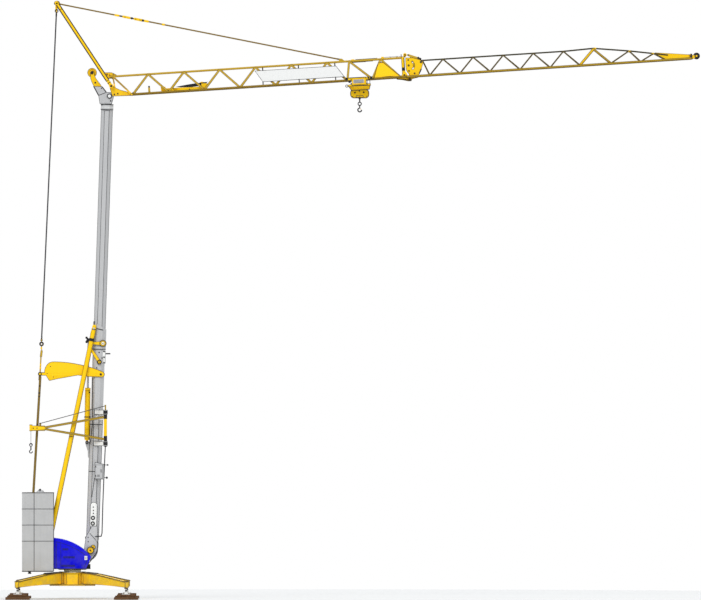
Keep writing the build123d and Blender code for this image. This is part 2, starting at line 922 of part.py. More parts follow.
def ballast_block(bottom, height):
    """One concrete block, open at the front, with a cast groove on each side."""
    with BuildSketch(Plane.XY.offset(bottom)) as plan:
        with Locations(((ballast_front + ballast_back) / 2, 0)):
            Rectangle(ballast_length, ballast_width)
    block = extrude(plan.sketch, amount=height)
    chamfer(block.edges().filter_by(Axis.Z), ballast_edge)
    with BuildSketch(Plane.XY.offset(bottom)) as openings:
        strut_notch = ballast_front - ballast_strut_notch_back + cut_over
        with Locations((ballast_strut_notch_back + strut_notch / 2, 0)):
            Rectangle(strut_notch, 2 * ballast_strut_notch_half)
        tie_notch = ballast_strut_notch_back - ballast_tie_notch_back + cut_over
        with Locations((ballast_tie_notch_back + tie_notch / 2, 0)):
            Rectangle(tie_notch, 2 * ballast_tie_notch_half)
        with Locations((ballast_groove_x, ballast_width / 2), (ballast_groove_x, -ballast_width / 2)):
            Rectangle(ballast_groove_width, 2 * ballast_groove_depth)
    extrude(openings.sketch, amount=height, mode=Mode.SUBTRACT)


with BuildPart() as ballast_base:
    ballast_block(tray_top, ballast_base_height)

finish(ballast_base, "ballast_base")

for number in range(ballast_block_count):
    with BuildPart() as ballast_upper:
        ballast_block(tray_top + ballast_base_height + number * ballast_block_height, ballast_block_height)
    finish(ballast_upper, f"ballast_block_{number + 1}")

ballast_top = tray_top + ballast_base_height + ballast_block_count * ballast_block_height

with BuildPart() as ballast_lifting_plate:
    for side in (1, -1):
        centre_y = side * (ballast_strut_notch_half + ballast_width / 2) / 2
        with Locations((lifting_plate_x, centre_y, ballast_top + lifting_plate_height / 2)):
            Box(lifting_plate_length, lifting_plate_width, lifting_plate_height)
        eye_low = centre_y - lifting_eye_width / 2
        eye_high = centre_y + lifting_eye_width / 2
        across(lifting_plate_x, ballast_top + lifting_eye_rise, lifting_eye_radius, eye_low, eye_high)
        with Locations((lifting_plate_x, centre_y, ballast_top + lifting_eye_rise / 2)):
            Box(lifting_neck_length, lifting_eye_width, lifting_eye_rise)

finish(ballast_lifting_plate, "ballast_lifting_plates")


# Machinery cover: a folded sheet hood, slotted at the front for the mast's foot

cover_bottom = deck_top
cover_crown = [
    (cover_back, cover_bottom + cover_height),
    (cover_shoulder_x, cover_bottom + cover_shoulder_rise),
    (cover_front_x, cover_bottom + cover_front_rise),
]
cover_nose = (cover_nose_x, cover_bottom + cover_nose_rise)
cover_toe = (cover_toe_x, cover_bottom)


def cover_body(inset):
    """The cover's side outline across its width, both drawn in by inset."""
    half_width = deck_half_width - inset
    with BuildSketch(Plane.XZ.offset(-half_width)) as profile:
        with BuildLine():
            top = ThreePointArc(*cover_crown)
            Line(top @ 1, cover_nose)
            Line(cover_nose, cover_toe)
            Line(cover_toe, (cover_back, cover_bottom))
            Line((cover_back, cover_bottom), top @ 0)
        make_face()
        if inset:
            offset(amount=-inset, mode=Mode.REPLACE)
    extrude(profile.sketch, amount=2 * half_width)


with BuildPart() as cover_hollow:
    cover_body(cover_wall)
    box_between(
        (cover_slot_back - cover_wall, -cover_slot_half - cover_wall, 0),
        (far, cover_slot_half + cover_wall, far),
        mode=Mode.SUBTRACT,
    )
    with BuildSketch(Plane.XY.offset(cover_bottom - 2 * cover_wall)):
        with Locations(((cover_back + cover_slot_back) / 2, 0)):
            Rectangle(cover_slot_back - cover_back - 2 * cover_wall, 2 * (deck_half_width - cover_wall))
    extrude(amount=4 * cover_wall)

with BuildPart() as machinery_cover:
    cover_body(0)
    box_between(
        (cover_slot_back, -cover_slot_half, 0),
        (far, cover_slot_half, far),
        mode=Mode.SUBTRACT,
    )
    add(cover_hollow.part, mode=Mode.SUBTRACT)
    for side in (1, -1):
        low, high = sorted((side * (beam_inner - plate_gap), side * (beam_outer + plate_gap)))
        box_between(
            (cover_back - cut_over, low, 0),
            (cover_slot_back + cut_over, high, beam_top + plate_gap),
            mode=Mode.SUBTRACT,
        )

finish(machinery_cover, "machinery_cover")


# Lower mast: an eight-sided tube with a guide collar at its head

def mast_section(width, wall=0):
    """An eight-sided ring with flats fore, aft and on both sides."""
    RegularPolygon(width / 2, 8, major_radius=False, rotation=22.5)
    if wall:
        RegularPolygon(width / 2 - wall, 8, major_radius=False, rotation=22.5, mode=Mode.SUBTRACT)


collar_wall = (mast_collar_width - upper_mast_width) / 2 - running_gap

with BuildPart() as lower_mast:
    with BuildSketch(mast_plane.offset(lower_mast_start)):
        mast_section(lower_mast_width, lower_mast_wall)
    extrude(amount=lower_mast_top - lower_mast_start)
    with BuildSketch(mast_plane.offset(lower_mast_start)):
        mast_section(lower_mast_width)
    extrude(amount=lower_mast_wall)
    with BuildSketch(mast_plane.offset(mast_collar_start)):
        mast_section(mast_collar_width, (mast_collar_width - lower_mast_width) / 2)
    extrude(amount=lower_mast_top - mast_collar_start)
    with BuildSketch(mast_plane.offset(lower_mast_top - guide_height)):
        mast_section(mast_collar_width, collar_wall)
    extrude(amount=guide_height + mast_collar_rear_rise)
    with BuildSketch(Plane(mast_plane.origin, x_dir=mast_plane.x_dir, z_dir=(0, -1, 0))):
        with BuildLine():
            Polyline(
                (mast_collar_width, lower_mast_top),
                (mast_collar_width / 2, lower_mast_top),
                (-mast_collar_width / 2 + cut_over, lower_mast_top + mast_collar_rear_rise),
                (-mast_collar_width, lower_mast_top + mast_collar_rear_rise),
                (-mast_collar_width, lower_mast_top + 2 * mast_collar_rear_rise),
                (mast_collar_width, lower_mast_top + 2 * mast_collar_rear_rise),
                close=True,
            )
        make_face()
    extrude(amount=mast_collar_width, both=True, mode=Mode.SUBTRACT)
    for side in (1, -1):
        strut_pin_end = strut_y + strut_diameter / 2 + strut_pin_overhang
        low, high = sorted((side * strut_pin_start, side * strut_pin_end))
        across(strut_top_x, strut_top_z, strut_pin_diameter / 2, low, high)
    for side in (1, -1):
        pin_end = spreader_inner_y + spreader_thickness + spreader_pin_overhang
        low, high = sorted((side * (mast_half - mast_weld_sink), side * pin_end))
        across(spreader_pin_x, spreader_pin_z, spreader_pin_diameter / 2, low, high)
    for side in (1, -1):
        bracket_near = cylinder_eye_half + plate_gap
        low, high = sorted((side * bracket_near, side * (bracket_near + cylinder_bracket_plate)))
        rear = mast_rear_x(cylinder_foot_z) + mast_weld_sink
        rear_low = mast_rear_x(cylinder_foot_z - cylinder_bracket_drop) + mast_weld_sink
        outline(
            [
                (cylinder_foot_x - cylinder_bracket_nose, cylinder_foot_z + cylinder_bracket_rise),
                (cylinder_foot_x - cylinder_bracket_nose, cylinder_foot_z - cylinder_bracket_chin),
                (rear_low - cylinder_bracket_depth, cylinder_foot_z - cylinder_bracket_waist),
                (rear_low - cylinder_bracket_depth, cylinder_foot_z - cylinder_bracket_hem),
                (rear_low, cylinder_foot_z - cylinder_bracket_drop),
                (rear, cylinder_foot_z),
                (rear, cylinder_foot_z + cylinder_bracket_rise),
            ],
            low,
            high,
        )
    pin_end = bracket_near + cylinder_bracket_plate + pin_overhang
    across(cylinder_foot_x, cylinder_foot_z, cylinder_pin_radius, -pin_end, pin_end)

finish(lower_mast, "lower_mast")


# Mast foot: cheek plates down to the pivot on the platform

cheek_edge = placed(mast_cheek_outline, mast_pivot_x, mast_pivot_z)
cheek_belly = placed([mast_cheek_belly], mast_pivot_x, mast_pivot_z)[0]
idler_near = -(mast_half + mast_cheek_thickness + foot_sheave_gap)
idler_far = idler_near - foot_idler_width
sheave_near = idler_far - foot_sheave_gap
sheave_far = sheave_near - foot_sheave_width

with BuildPart() as mast_foot:
    for side in (1, -1):
        low, high = sorted((side * mast_half, side * (mast_half + mast_cheek_thickness)))
        with BuildSketch(Plane.XZ.offset(-high)):
            with BuildLine():
                Polyline((mast_pivot_x - mast_cheek_eye, mast_pivot_z), *cheek_edge)
                ThreePointArc(cheek_edge[-1], cheek_belly, (mast_pivot_x, mast_pivot_z - mast_cheek_eye))
                ThreePointArc(
                    (mast_pivot_x, mast_pivot_z - mast_cheek_eye),
                    (mast_pivot_x - mast_cheek_eye / sqrt(2), mast_pivot_z - mast_cheek_eye / sqrt(2)),
                    (mast_pivot_x - mast_cheek_eye, mast_pivot_z),
                )
            make_face()
        extrude(amount=high - low)
        across(mast_pivot_x, mast_pivot_z, mast_pivot_diameter / 2 + running_gap, low, high, mode=Mode.SUBTRACT)
    across(foot_sheave_x, foot_sheave_z, foot_sheave_axle, sheave_far - foot_sheave_gap, -mast_half - plate_gap)
    across(foot_idler_x, foot_idler_z, foot_idler_axle, idler_far - foot_sheave_gap / 2, -mast_half - plate_gap)

finish(mast_foot, "mast_foot")

with BuildPart() as foot_sheaves:
    idler_bore = foot_idler_axle + running_gap
    across(foot_idler_x, foot_idler_z, foot_idler_radius, idler_far, idler_near)
    across(foot_idler_x, foot_idler_z, idler_bore, idler_far, idler_near, mode=Mode.SUBTRACT)
    sheave_bore = foot_sheave_axle + running_gap
    across(foot_sheave_x, foot_sheave_z, foot_sheave_radius, sheave_far, sheave_near)
    across(foot_sheave_x, foot_sheave_z, sheave_bore, sheave_far, sheave_near, mode=Mode.SUBTRACT)

finish(foot_sheaves, "foot_sheaves")


# Back struts: a pair of tubes from the platform to the head of the lower mast

strut_foot_z = strut_bracket_top - strut_foot_overlap
strut_end_z = strut_top_z + strut_top_overhang

with BuildPart() as back_struts:
    for side in (1, -1):
        tube(
            (strut_x(strut_foot_z), side * strut_y, strut_foot_z),
            (strut_x(strut_end_z), side * strut_y, strut_end_z),
            strut_diameter,
            strut_wall,
        )
    box_between((-far, -far, 0), (far, far, strut_bracket_top), mode=Mode.SUBTRACT)
    across(strut_top_x, strut_top_z, strut_pin_diameter / 2 + running_gap, -far, far, mode=Mode.SUBTRACT)

finish(back_struts, "back_struts")

with BuildPart() as strut_crosshead:
    strut_axis = Vector(strut_lean, 0, 1).normalized()
    for side in (1, -1):
        middle = Vector(strut_x(cylinder_head_z), side * strut_y, cylinder_head_z)
        tube(
            middle - strut_axis * crosshead_height / 2,
            middle + strut_axis * crosshead_height / 2,
            strut_diameter + 2 * crosshead_collar,
        )
    box_between(
        (cylinder_head_x - crosshead_back, -strut_y, cylinder_head_z - crosshead_height / 2),
        (cylinder_head_x + crosshead_front, strut_y, cylinder_head_z + crosshead_height / 2),
    )
    for side in (1, -1):
        middle = Vector(strut_x(cylinder_head_z), side * strut_y, cylinder_head_z)
        tube(
            middle - strut_axis * crosshead_height,
            middle + strut_axis * crosshead_height,
            strut_diameter + 2 * running_gap,
            mode=Mode.SUBTRACT,
        )

finish(strut_crosshead, "strut_crosshead")


# Erecting cylinder, pinned to a bracket on the back of the mast

cylinder_foot = Vector(cylinder_foot_x, 0, cylinder_foot_z)
cylinder_head = Vector(cylinder_head_x, 0, cylinder_head_z)
cylinder_axis = (cylinder_head - cylinder_foot).normalized()
crosshead_bottom = cylinder_head_z - crosshead_height / 2

with BuildPart() as erecting_cylinder:
    across(cylinder_foot_x, cylinder_foot_z, cylinder_eye_radius, -cylinder_eye_half, cylinder_eye_half)
    tube(
        cylinder_foot + cylinder_axis * cylinder_pin_radius,
        cylinder_foot + cylinder_axis * cylinder_barrel_start,
        cylinder_rod_diameter,
    )
    tube(
        cylinder_foot + cylinder_axis * cylinder_barrel_start,
        cylinder_foot + cylinder_axis * cylinder_barrel_end,
        cylinder_barrel_diameter,
    )
    tube(
        cylinder_foot + cylinder_axis * (cylinder_barrel_end - cylinder_cap_length),
        cylinder_foot + cylinder_axis * cylinder_barrel_end,
        cylinder_barrel_diameter + 2 * cylinder_cap_wall,
    )
    across(cylinder_foot_x, cylinder_foot_z, cylinder_pin_radius + running_gap, -far, far, mode=Mode.SUBTRACT)

finish(erecting_cylinder, "erecting_cylinder")

with BuildPart() as cylinder_rod:
    tube(cylinder_foot + cylinder_axis * cylinder_barrel_end, cylinder_head, cylinder_rod_diameter)
    box_between((0, -far, crosshead_bottom), (far, far, crosshead_bottom + far), mode=Mode.SUBTRACT)

finish(cylinder_rod, "cylinder_rod")


# Spreader: a pair of leaf-shaped plates from the mast out to the rear tie

spreader_low = spreader_inner_y
spreader_high = spreader_inner_y + spreader_thickness
spreader_brace = placed([spreader_brace_offset], tie_head_x, tie_head_z)[0]

with BuildPart() as spreader_arms:
    for side in (1, -1):
        low, high = sorted((side * spreader_low, side * spreader_high))
        with BuildSketch(Plane.XZ.offset(-high)):
            with BuildLine():
                upper = Spline(*placed(spreader_upper_edge, spreader_pin_x, spreader_pin_z))
                tip = ThreePointArc(upper @ 1, *placed(spreader_tip, spreader_pin_x, spreader_pin_z))
                lower = Polyline(tip @ 1, *placed(spreader_lower_edge, spreader_pin_x, spreader_pin_z))
                Line(lower @ 1, upper @ 0)
            make_face()
        extrude(amount=high - low)
        across(
            spreader_pin_x,
            spreader_pin_z,
            spreader_pin_diameter / 2 + running_gap,
            low,
            high,
            mode=Mode.SUBTRACT,
        )
        across(tie_head_x, tie_head_z, spreader_eye_radius, low, high)
        outline(
            [
                (tie_head_x, tie_head_z + spreader_eye_height),
                (tie_head_x + spreader_eye_length, tie_head_z + spreader_eye_height),
                (tie_head_x + spreader_eye_length, tie_head_z - spreader_eye_height),
                (tie_head_x, tie_head_z - spreader_eye_height),
            ],
            low,
            high,
        )
        across(tie_head_x, tie_head_z, tie_tube_diameter / 2 + running_gap, low, high, mode=Mode.SUBTRACT)
    across(*spreader_brace, spreader_brace_radius, -spreader_low, spreader_low)

finish(spreader_arms, "spreader_arms")


# Rear ties: flat bars from the platform up to the spreader, and the fork above it

with BuildPart() as rear_ties:
    for side in (1, -1):
        low, high = sorted((side * tie_inner_y, side * (tie_inner_y + tie_thickness)))
        middle_y = (low + high) / 2
        beam(
            (tie_foot_x, middle_y, tie_foot_z),
            (tie_head_x + tie_bar_top_offset[0], middle_y, tie_head_z + tie_bar_top_offset[1]),
            tie_thickness,
            tie_width,
        )
        across(tie_foot_x, tie_foot_z, tie_eye_radius, low, high)
        across(tie_foot_x, tie_foot_z, tie_pin_radius + running_gap, low, high, mode=Mode.SUBTRACT)
        hanger_far = spreader_low - plate_gap
        inner_low, inner_high = sorted((side * (hanger_far - tie_hanger_thickness), side * hanger_far))
        across(tie_head_x, tie_head_z, tie_hanger_radius, inner_low, inner_high)
        outline(
            [
                (tie_head_x - tie_hanger_top_half, tie_head_z),
                (tie_head_x + tie_hanger_top_half, tie_head_z),
                (tie_head_x + tie_hanger_low_half - tie_hanger_lean, tie_head_z - tie_hanger_drop),
                (tie_head_x - tie_hanger_low_half - tie_hanger_lean, tie_head_z - tie_hanger_drop),
            ],
            inner_low,
            inner_high,
        )
    tie_tube_end = spreader_high + tie_tube_overhang
    across(tie_head_x, tie_head_z, tie_tube_diameter / 2, -tie_tube_end, tie_tube_end)

finish(rear_ties, "rear_ties")

rear_rope_foot = Vector(tie_head_x + rear_rope_rise[0], 0, tie_head_z + rear_rope_rise[1])
rear_rope_head = Vector(apex_x + rope_head_offset[0], 0, apex_z + rope_head_offset[1])
rear_rope_axis = (rear_rope_head - rear_rope_foot).normalized()
neck_top = placed([fork_neck], tie_head_x, tie_head_z)[0]
shank_low, shank_high = placed(fork_shank, tie_head_x, tie_head_z)
ring_x, ring_z = placed([fork_ring], tie_head_x, tie_head_z)[0]

with BuildPart() as rear_tie_fork:
    tube((tie_head_x, 0, tie_head_z), (neck_top[0], 0, neck_top[1]), fork_neck_diameter)
    across(tie_head_x, tie_head_z, tie_tube_diameter / 2 + running_gap, -far, far, mode=Mode.SUBTRACT)
    outline(placed(fork_plate, tie_head_x, tie_head_z), -fork_plate_half, fork_plate_half)
    tube((shank_low[0], 0, shank_low[1]), (shank_high[0], 0, shank_high[1]), fork_shank_diameter)
    across(ring_x, ring_z, fork_ring_radius, -fork_ring_half, fork_ring_half)
    across(ring_x, ring_z, fork_ring_bore, -fork_ring_half, fork_ring_half, mode=Mode.SUBTRACT)
    tube(
        rear_rope_foot - rear_rope_axis * rope_socket_length,
        rear_rope_foot - rear_rope_axis * running_gap,
        rope_socket_diameter,
    )

finish(rear_tie_fork, "rear_tie_fork")

with BuildPart() as rear_rope:
    tube(rear_rope_foot, rear_rope_head, rear_rope_diameter)

finish(rear_rope, "rear_rope")


# Links that lock the struts to the mast

link_inner_y = mast_collar_width / 2 + running_gap
link_outer_y = link_inner_y + link_thickness
link_sheets = [
    (upper_link_offset, upper_link_z, upper_link_radius, upper_link_strut_z, mast_collar_width / 2),
    (lower_link_offset, lower_link_z, lower_link_radius, lower_link_strut_z, lower_mast_width / 2),
]

with BuildPart() as strut_links:
    for side in (1, -1):
        low, high = sorted((side * link_inner_y, side * link_outer_y))
        for offset_x, boss_z, boss_radius, strut_z, flank in link_sheets:
            boss_x = mast_x(boss_z) + offset_x
            across(boss_x, boss_z, boss_radius, low, high)
            strut_end = Vector(strut_x(strut_z) + cut_over, 0, strut_z)
            boss_end = Vector(boss_x, 0, boss_z)
            along = (strut_end - boss_end).normalized()
            square = Vector(-along.Z, 0, along.X)
            root_half = boss_radius * link_root_share
            strap = [boss_end + square * root_half, boss_end - square * root_half]
            strap += [strut_end - square * link_strap_half, strut_end + square * link_strap_half]
            outline([(corner.X, corner.Z) for corner in strap], low, high)
            boss_far = link_outer_y + link_boss_proud
            boss_low, boss_high = sorted((side * (flank + running_gap), side * boss_far))
            across(boss_x, boss_z, boss_radius * link_boss_share, boss_low, boss_high)
        tube(
            (strut_x(strut_foot_z), side * strut_y, strut_foot_z),
            (strut_x(strut_end_z), side * strut_y, strut_end_z),
            strut_diameter + 2 * running_gap,
            mode=Mode.SUBTRACT,
        )

finish(strut_links, "strut_links")


# Control cabinet on the mast's side

with BuildPart() as control_cabinet:
    cabinet_right = cabinet_x + cabinet_width
    outline(
        [
            (cabinet_x, cabinet_bottom),
            (cabinet_right, cabinet_bottom),
            (cabinet_right, cabinet_bottom + cabinet_height - cabinet_slope),
            (cabinet_x, cabinet_bottom + cabinet_height),
        ],
        -mast_half - cabinet_depth,
        -mast_half,
    )

finish(control_cabinet, "control_cabinet")

with BuildPart() as mast_line:
    line_y = -mast_half - mast_line_stand
    line_head = (davit_x, davit_y, davit_post_bottom - mast_line_drop)
    tube(line_head, (mast_line_foot_x, line_y, mast_line_foot_z), mast_line_diameter)
    outline(
        [
            (mast_line_arm_x, mast_line_foot_z),
            (mast_line_arm_end, mast_line_foot_z),
            (mast_line_arm_end, mast_line_foot_z - mast_line_arm_height),
            (mast_line_arm_x, mast_line_foot_z - mast_line_arm_height),
        ],
        line_y - mast_line_arm_half,
        -mast_half - mast_cheek_thickness - mast_line_arm_gap,
    )

finish(mast_line, "mast_line")


# Davit brackets on the mast, and the davit that swings on its post

bearing_low_z = davit_post_bottom
bearing_top_z = bearing_low_z + davit_bearing_rise

with BuildPart() as davit_brackets:
    for level in (bearing_low_z - davit_bearing_height, bearing_top_z):
        with BuildSketch(Plane.XY.offset(level)):
            with Locations((davit_x, davit_y)):
                Circle(davit_bearing_diameter / 2)
            with BuildLine():
                Polyline(
                    (mast_x(level) - davit_bearing_root, -mast_half - running_gap),
                    (mast_x(level) + davit_bearing_root, -mast_half - running_gap),
                    (davit_x + davit_bearing_neck, davit_y + davit_bearing_neck / 2),
                    (davit_x - davit_bearing_neck, davit_y - davit_bearing_neck / 2),
                    close=True,
                )
            make_face()
        extrude(amount=davit_bearing_height)
    bore_low = (davit_x, davit_y, bearing_top_z - cut_over)
    bore_high = (davit_x, davit_y, davit_pintle_top)
    tube(bore_low, bore_high, davit_pintle_diameter + 2 * running_gap, mode=Mode.SUBTRACT)

finish(davit_brackets, "davit_brackets")

with BuildPart() as davit_boom:
    post_low = (davit_x, davit_y, bearing_low_z + running_gap)
    post_high = (davit_x, davit_y, bearing_top_z - running_gap)
    tube(post_low, post_high, davit_post_diameter)
    tube(post_low, (davit_x, davit_y, davit_pintle_top), davit_pintle_diameter)
    for root_z, tip_z in ((davit_upper_root_z, davit_upper_tip_z), (davit_lower_root_z, davit_lower_tip_z)):
        beam((davit_x, davit_y, root_z), (davit_tip_x, davit_y, tip_z), davit_bar, davit_bar)
    outline(
        [
            (davit_tip_x + cut_over, davit_head_low),
            (davit_tip_x + cut_over, davit_head_high),
            (davit_head_x, davit_head_high),
            (davit_head_x, davit_head_low),
        ],
        davit_y - davit_bar / 2,
        davit_y + davit_bar / 2,
    )
    box_between(
        (davit_lug_x, davit_y - davit_lug_half, davit_head_high - cut_over),
        (davit_lug_x + davit_lug_length, davit_y + davit_lug_half, davit_lug_top),
    )
    sleeve_low = (davit_sleeve_x, davit_y, davit_sleeve_bottom)
    tube(sleeve_low, (davit_sleeve_x, davit_y, davit_sleeve_top), davit_sleeve_diameter)

finish(davit_boom, "davit_boom")

with BuildPart() as davit_stay:
    stay_tip = (davit_lug_x, davit_y, davit_stay_tip_z)
    tube(stay_tip, (davit_x, davit_y, davit_stay_root_z), davit_stay_diameter)
    tube(bore_low, bore_high, davit_pintle_diameter + 2 * running_gap, mode=Mode.SUBTRACT)
    lug_end = davit_lug_x + davit_lug_length + running_gap
    box_between((-far, -far, 0), (lug_end, far, 3 * far), mode=Mode.SUBTRACT)

finish(davit_stay, "davit_stay")

with BuildPart() as davit_hook:
    rope_top = (davit_sleeve_x, davit_y, davit_sleeve_bottom - running_gap)
    tube((davit_sleeve_x, davit_y, davit_shackle_z), rope_top, davit_rope_diameter)
    shackle_low, shackle_high = davit_y - davit_shackle_half, davit_y + davit_shackle_half
    across(davit_sleeve_x, davit_shackle_z, davit_shackle_radius, shackle_low, shackle_high)
    bore_z = davit_shackle_z - davit_shackle_bore / 3
    across(davit_sleeve_x, bore_z, davit_shackle_bore, -far, far, mode=Mode.SUBTRACT)
    swivel_top = (davit_sleeve_x, davit_y, davit_shackle_z - davit_hook_radius)
    tube(swivel_top, (davit_sleeve_x, davit_y, davit_hook_z + davit_hook_radius), davit_swivel_diameter)
    hook_shape(davit_sleeve_x, davit_y, davit_hook_z, davit_hook_radius, davit_hook_bar)

finish(davit_hook, "davit_hook")


# Upper mast: the telescoping tube with its guide shoe

with BuildPart() as upper_mast:
    with BuildSketch(mast_plane.offset(upper_mast_start)):
        mast_section(upper_mast_width, upper_mast_wall)
    extrude(amount=upper_mast_top - upper_mast_start)
    with BuildSketch(mast_plane.offset(upper_mast_start)):
        mast_section(
            lower_mast_width - 2 * lower_mast_wall - 2 * running_gap,
            (lower_mast_width - 2 * lower_mast_wall - 2 * running_gap - upper_mast_width) / 2,
        )
    extrude(amount=guide_height)

finish(upper_mast, "upper_mast")

with BuildPart() as mast_head:
    outline(placed(head_plate, mast_head_x, mast_head_z), -head_width / 2, head_width / 2)
    with BuildSketch(mast_plane.offset(upper_mast_top)):
        mast_section(upper_mast_width + 2 * head_collar_proud)
    extrude(amount=head_collar_height)

finish(mast_head, "mast_head")

head_arm_outer_y = head_arm_inner_y + head_arm_thickness

with BuildPart() as head_arm:
    for side in (1, -1):
        low, high = sorted((side * head_arm_inner_y, side * head_arm_outer_y))
        with BuildSketch(Plane.XZ.offset(-high)):
            with BuildLine():
                back = Spline(*placed(head_arm_back, mast_head_x, mast_head_z))
                front = Spline(*placed(head_arm_front, mast_head_x, mast_head_z))
                ThreePointArc(back @ 1, placed([head_arm_crown], mast_head_x, mast_head_z)[0], front @ 0)
                Line(front @ 1, back @ 0)
            make_face()
        extrude(amount=high - low)
    across(head_sheave_x, head_sheave_z, head_sheave_axle, -head_arm_outer_y, head_arm_outer_y)

finish(head_arm, "head_arm")

with BuildPart() as head_sheave:
    across(head_sheave_x, head_sheave_z, head_sheave_radius, -head_sheave_half, head_sheave_half)
    across(head_sheave_x, head_sheave_z, head_sheave_axle + running_gap, -far, far, mode=Mode.SUBTRACT)

finish(head_sheave, "head_sheave")


# Apex strut: two legs from the jib's foot up and back to the apex

def leg_point(z):
    """Centre of an apex leg at height z, as X and half spread."""
    share = (z - apex_foot_z) / (apex_z - apex_foot_z)
    return apex_foot_x + share * (apex_x - apex_foot_x), apex_foot_y + share * (apex_half_y - apex_foot_y)


apex_cross_levels = [apex_foot_z + share * apex_rise for share in apex_cross_shares]

with BuildPart() as apex_strut:
    for side in (1, -1):
        tube(
            (apex_foot_x, side * apex_foot_y, apex_foot_z),
            (apex_x, side * apex_half_y, apex_z),
            apex_leg_diameter,
            apex_leg_wall,
        )
    for level in apex_cross_levels:
        x, half = leg_point(level)
        cross_half = half - apex_leg_diameter / 2 + cut_over
        across(x, level, apex_cross_radius, -cross_half, cross_half)
    apex_tube_end = apex_half_y + apex_tube_proud
    across(apex_x, apex_z, apex_tube_radius, -apex_tube_end, apex_tube_end)
    for side in (1, -1):
        low, high = sorted((side * (apex_foot_y - apex_foot_half), side * (apex_foot_y + apex_foot_half)))
        across(apex_foot_x, apex_foot_z, apex_foot_eye, low, high)
    across(apex_foot_x, apex_foot_z, apex_pin_diameter / 2 + running_gap, -far, far, mode=Mode.SUBTRACT)
    lug_low = rear_rope_head.Z + rope_head_socket * apex_lug_share
    lug_high = apex_z - forestay_mouth_z - plate_gap
    rope_lug = [(apex_x - apex_tube_radius, lug_high), (apex_x + apex_tube_radius / 2, lug_high)]
    rope_lug += [(rear_rope_head.X + apex_lug_width, lug_low), (rear_rope_head.X - apex_lug_width, lug_low)]
    outline(rope_lug, -apex_lug_half, apex_lug_half)
    socket_low = rear_rope_head + rear_rope_axis * running_gap
    tube(socket_low, rear_rope_head + rear_rope_axis * rope_head_socket, rope_head_diameter)

finish(apex_strut, "apex_strut")

forestay_foot = jib_point(forestay_end_u, 0, forestay_end_v)
forestay_axis = (forestay_foot - Vector(apex_x, 0, apex_z)).normalized()

with BuildPart() as forestay:
    tube((apex_x, 0, apex_z), forestay_foot, forestay_diameter)
    across(apex_x, apex_z, forestay_hook_radius, -forestay_hook_half, forestay_hook_half)
    box_between(
        (apex_x - far, -far, apex_z - far),
        (apex_x + forestay_mouth_x, far, apex_z - forestay_mouth_z),
        mode=Mode.SUBTRACT,
    )
    across(apex_x, apex_z, apex_tube_radius + running_gap, -far, far, mode=Mode.SUBTRACT)
    jib_round(forestay_end_u, forestay_end_v, forestay_clearance, -far, far, mode=Mode.SUBTRACT)
    jib_round(forestay_end_u, forestay_end_v, forestay_eye_radius, -forestay_eye_half, forestay_eye_half)
    beam(
        forestay_foot - forestay_axis * forestay_tongue_start,
        forestay_foot - forestay_axis * forestay_tongue_end,
        2 * forestay_eye_half,
        forestay_eye_height,
    )
    jib_round(forestay_end_u, forestay_end_v, forestay_pin_radius + running_gap, -far, far, mode=Mode.SUBTRACT)

finish(forestay, "forestay")


# Jib root: gussets on the mast head and a cross beam for the lower chords

gusset_low = head_width / 2
root_edge = placed(root_gusset, apex_foot_x, apex_foot_z)
root_nose = placed(root_gusset_nose, jib_x, jib_z)
root_cross_x = leg_point(apex_cross_levels[0])[0]
root_cross = jib_plane.to_local_coords(Vector(root_cross_x, 0, apex_cross_levels[0]))

with BuildPart() as jib_root:
    for side in (1, -1):
        low, high = sorted((side * gusset_low, side * (gusset_low + gusset_thickness)))
        outline(root_edge[:-1] + root_nose + root_edge[-1:], low, high)
        low, high = sorted((side * gusset_low, side * (apex_foot_y + apex_foot_half + pin_overhang / 2)))
        across(apex_foot_x, apex_foot_z, apex_pin_diameter / 2, low, high)
    root_beam = [(-jib_chord, -jib_chord / 2), (-jib_chord, jib_chord / 2), (0, jib_chord / 2), (0, -jib_chord / 2)]
    jib_plate(root_beam, -jib_half_gauge - jib_chord / 2, jib_half_gauge + jib_chord / 2)
    root_plate = placed(root_plate_head, root_cross.X, root_cross.Z)
    root_plate += placed(root_plate_tail, inner_top_start, inner_depth)
    jib_plate(root_plate, -root_plate_half, root_plate_half)
    block_u = inner_top_start + first_bay_shift
    block_v = inner_depth - root_block_drop
    jib_plate(
        [
            (block_u - root_block_half, block_v - root_block_half),
            (block_u - root_block_half, block_v + root_block_half),
            (block_u + root_block_half, block_v + root_block_half),
            (block_u + root_block_half, block_v - root_block_half),
        ],
        -root_block_width / 2,
        root_block_width / 2,
    )
    first_bay = []
    for side in (1, -1):
        top_y = side * top_chord_diameter * chord_seat_share
        foot_y = side * (gusset_low + gusset_thickness / 2)
        bay_top = jib_point(block_u, top_y, inner_depth)
        foot_x, foot_z = placed([first_bay_foot], apex_foot_x, apex_foot_z)[0]
        first_bay.append(bar_solid(bay_top, (foot_x, foot_y, foot_z), first_bay_bar, gusset_thickness))
        chord_y = side * (jib_half_gauge - jib_chord / 2)
        first_bay.append(
            bar_solid(bay_top, jib_point(-jib_chord / 2, chord_y, 0), inner_bar, inner_bar_thickness)
        )
    add(first_bay)
    tube(
        jib_point(inner_top_start, 0, inner_depth),
        jib_point(0, 0, inner_depth),
        top_chord_diameter,
        mode=Mode.SUBTRACT,
    )
    cross_clearance = apex_cross_radius + running_gap
    across(root_cross_x, apex_cross_levels[0], cross_clearance, -far, far, mode=Mode.SUBTRACT)

finish(jib_root, "jib_root")


# Jib sections: a three-chord lattice, with a rail for the trolley on each lower chord

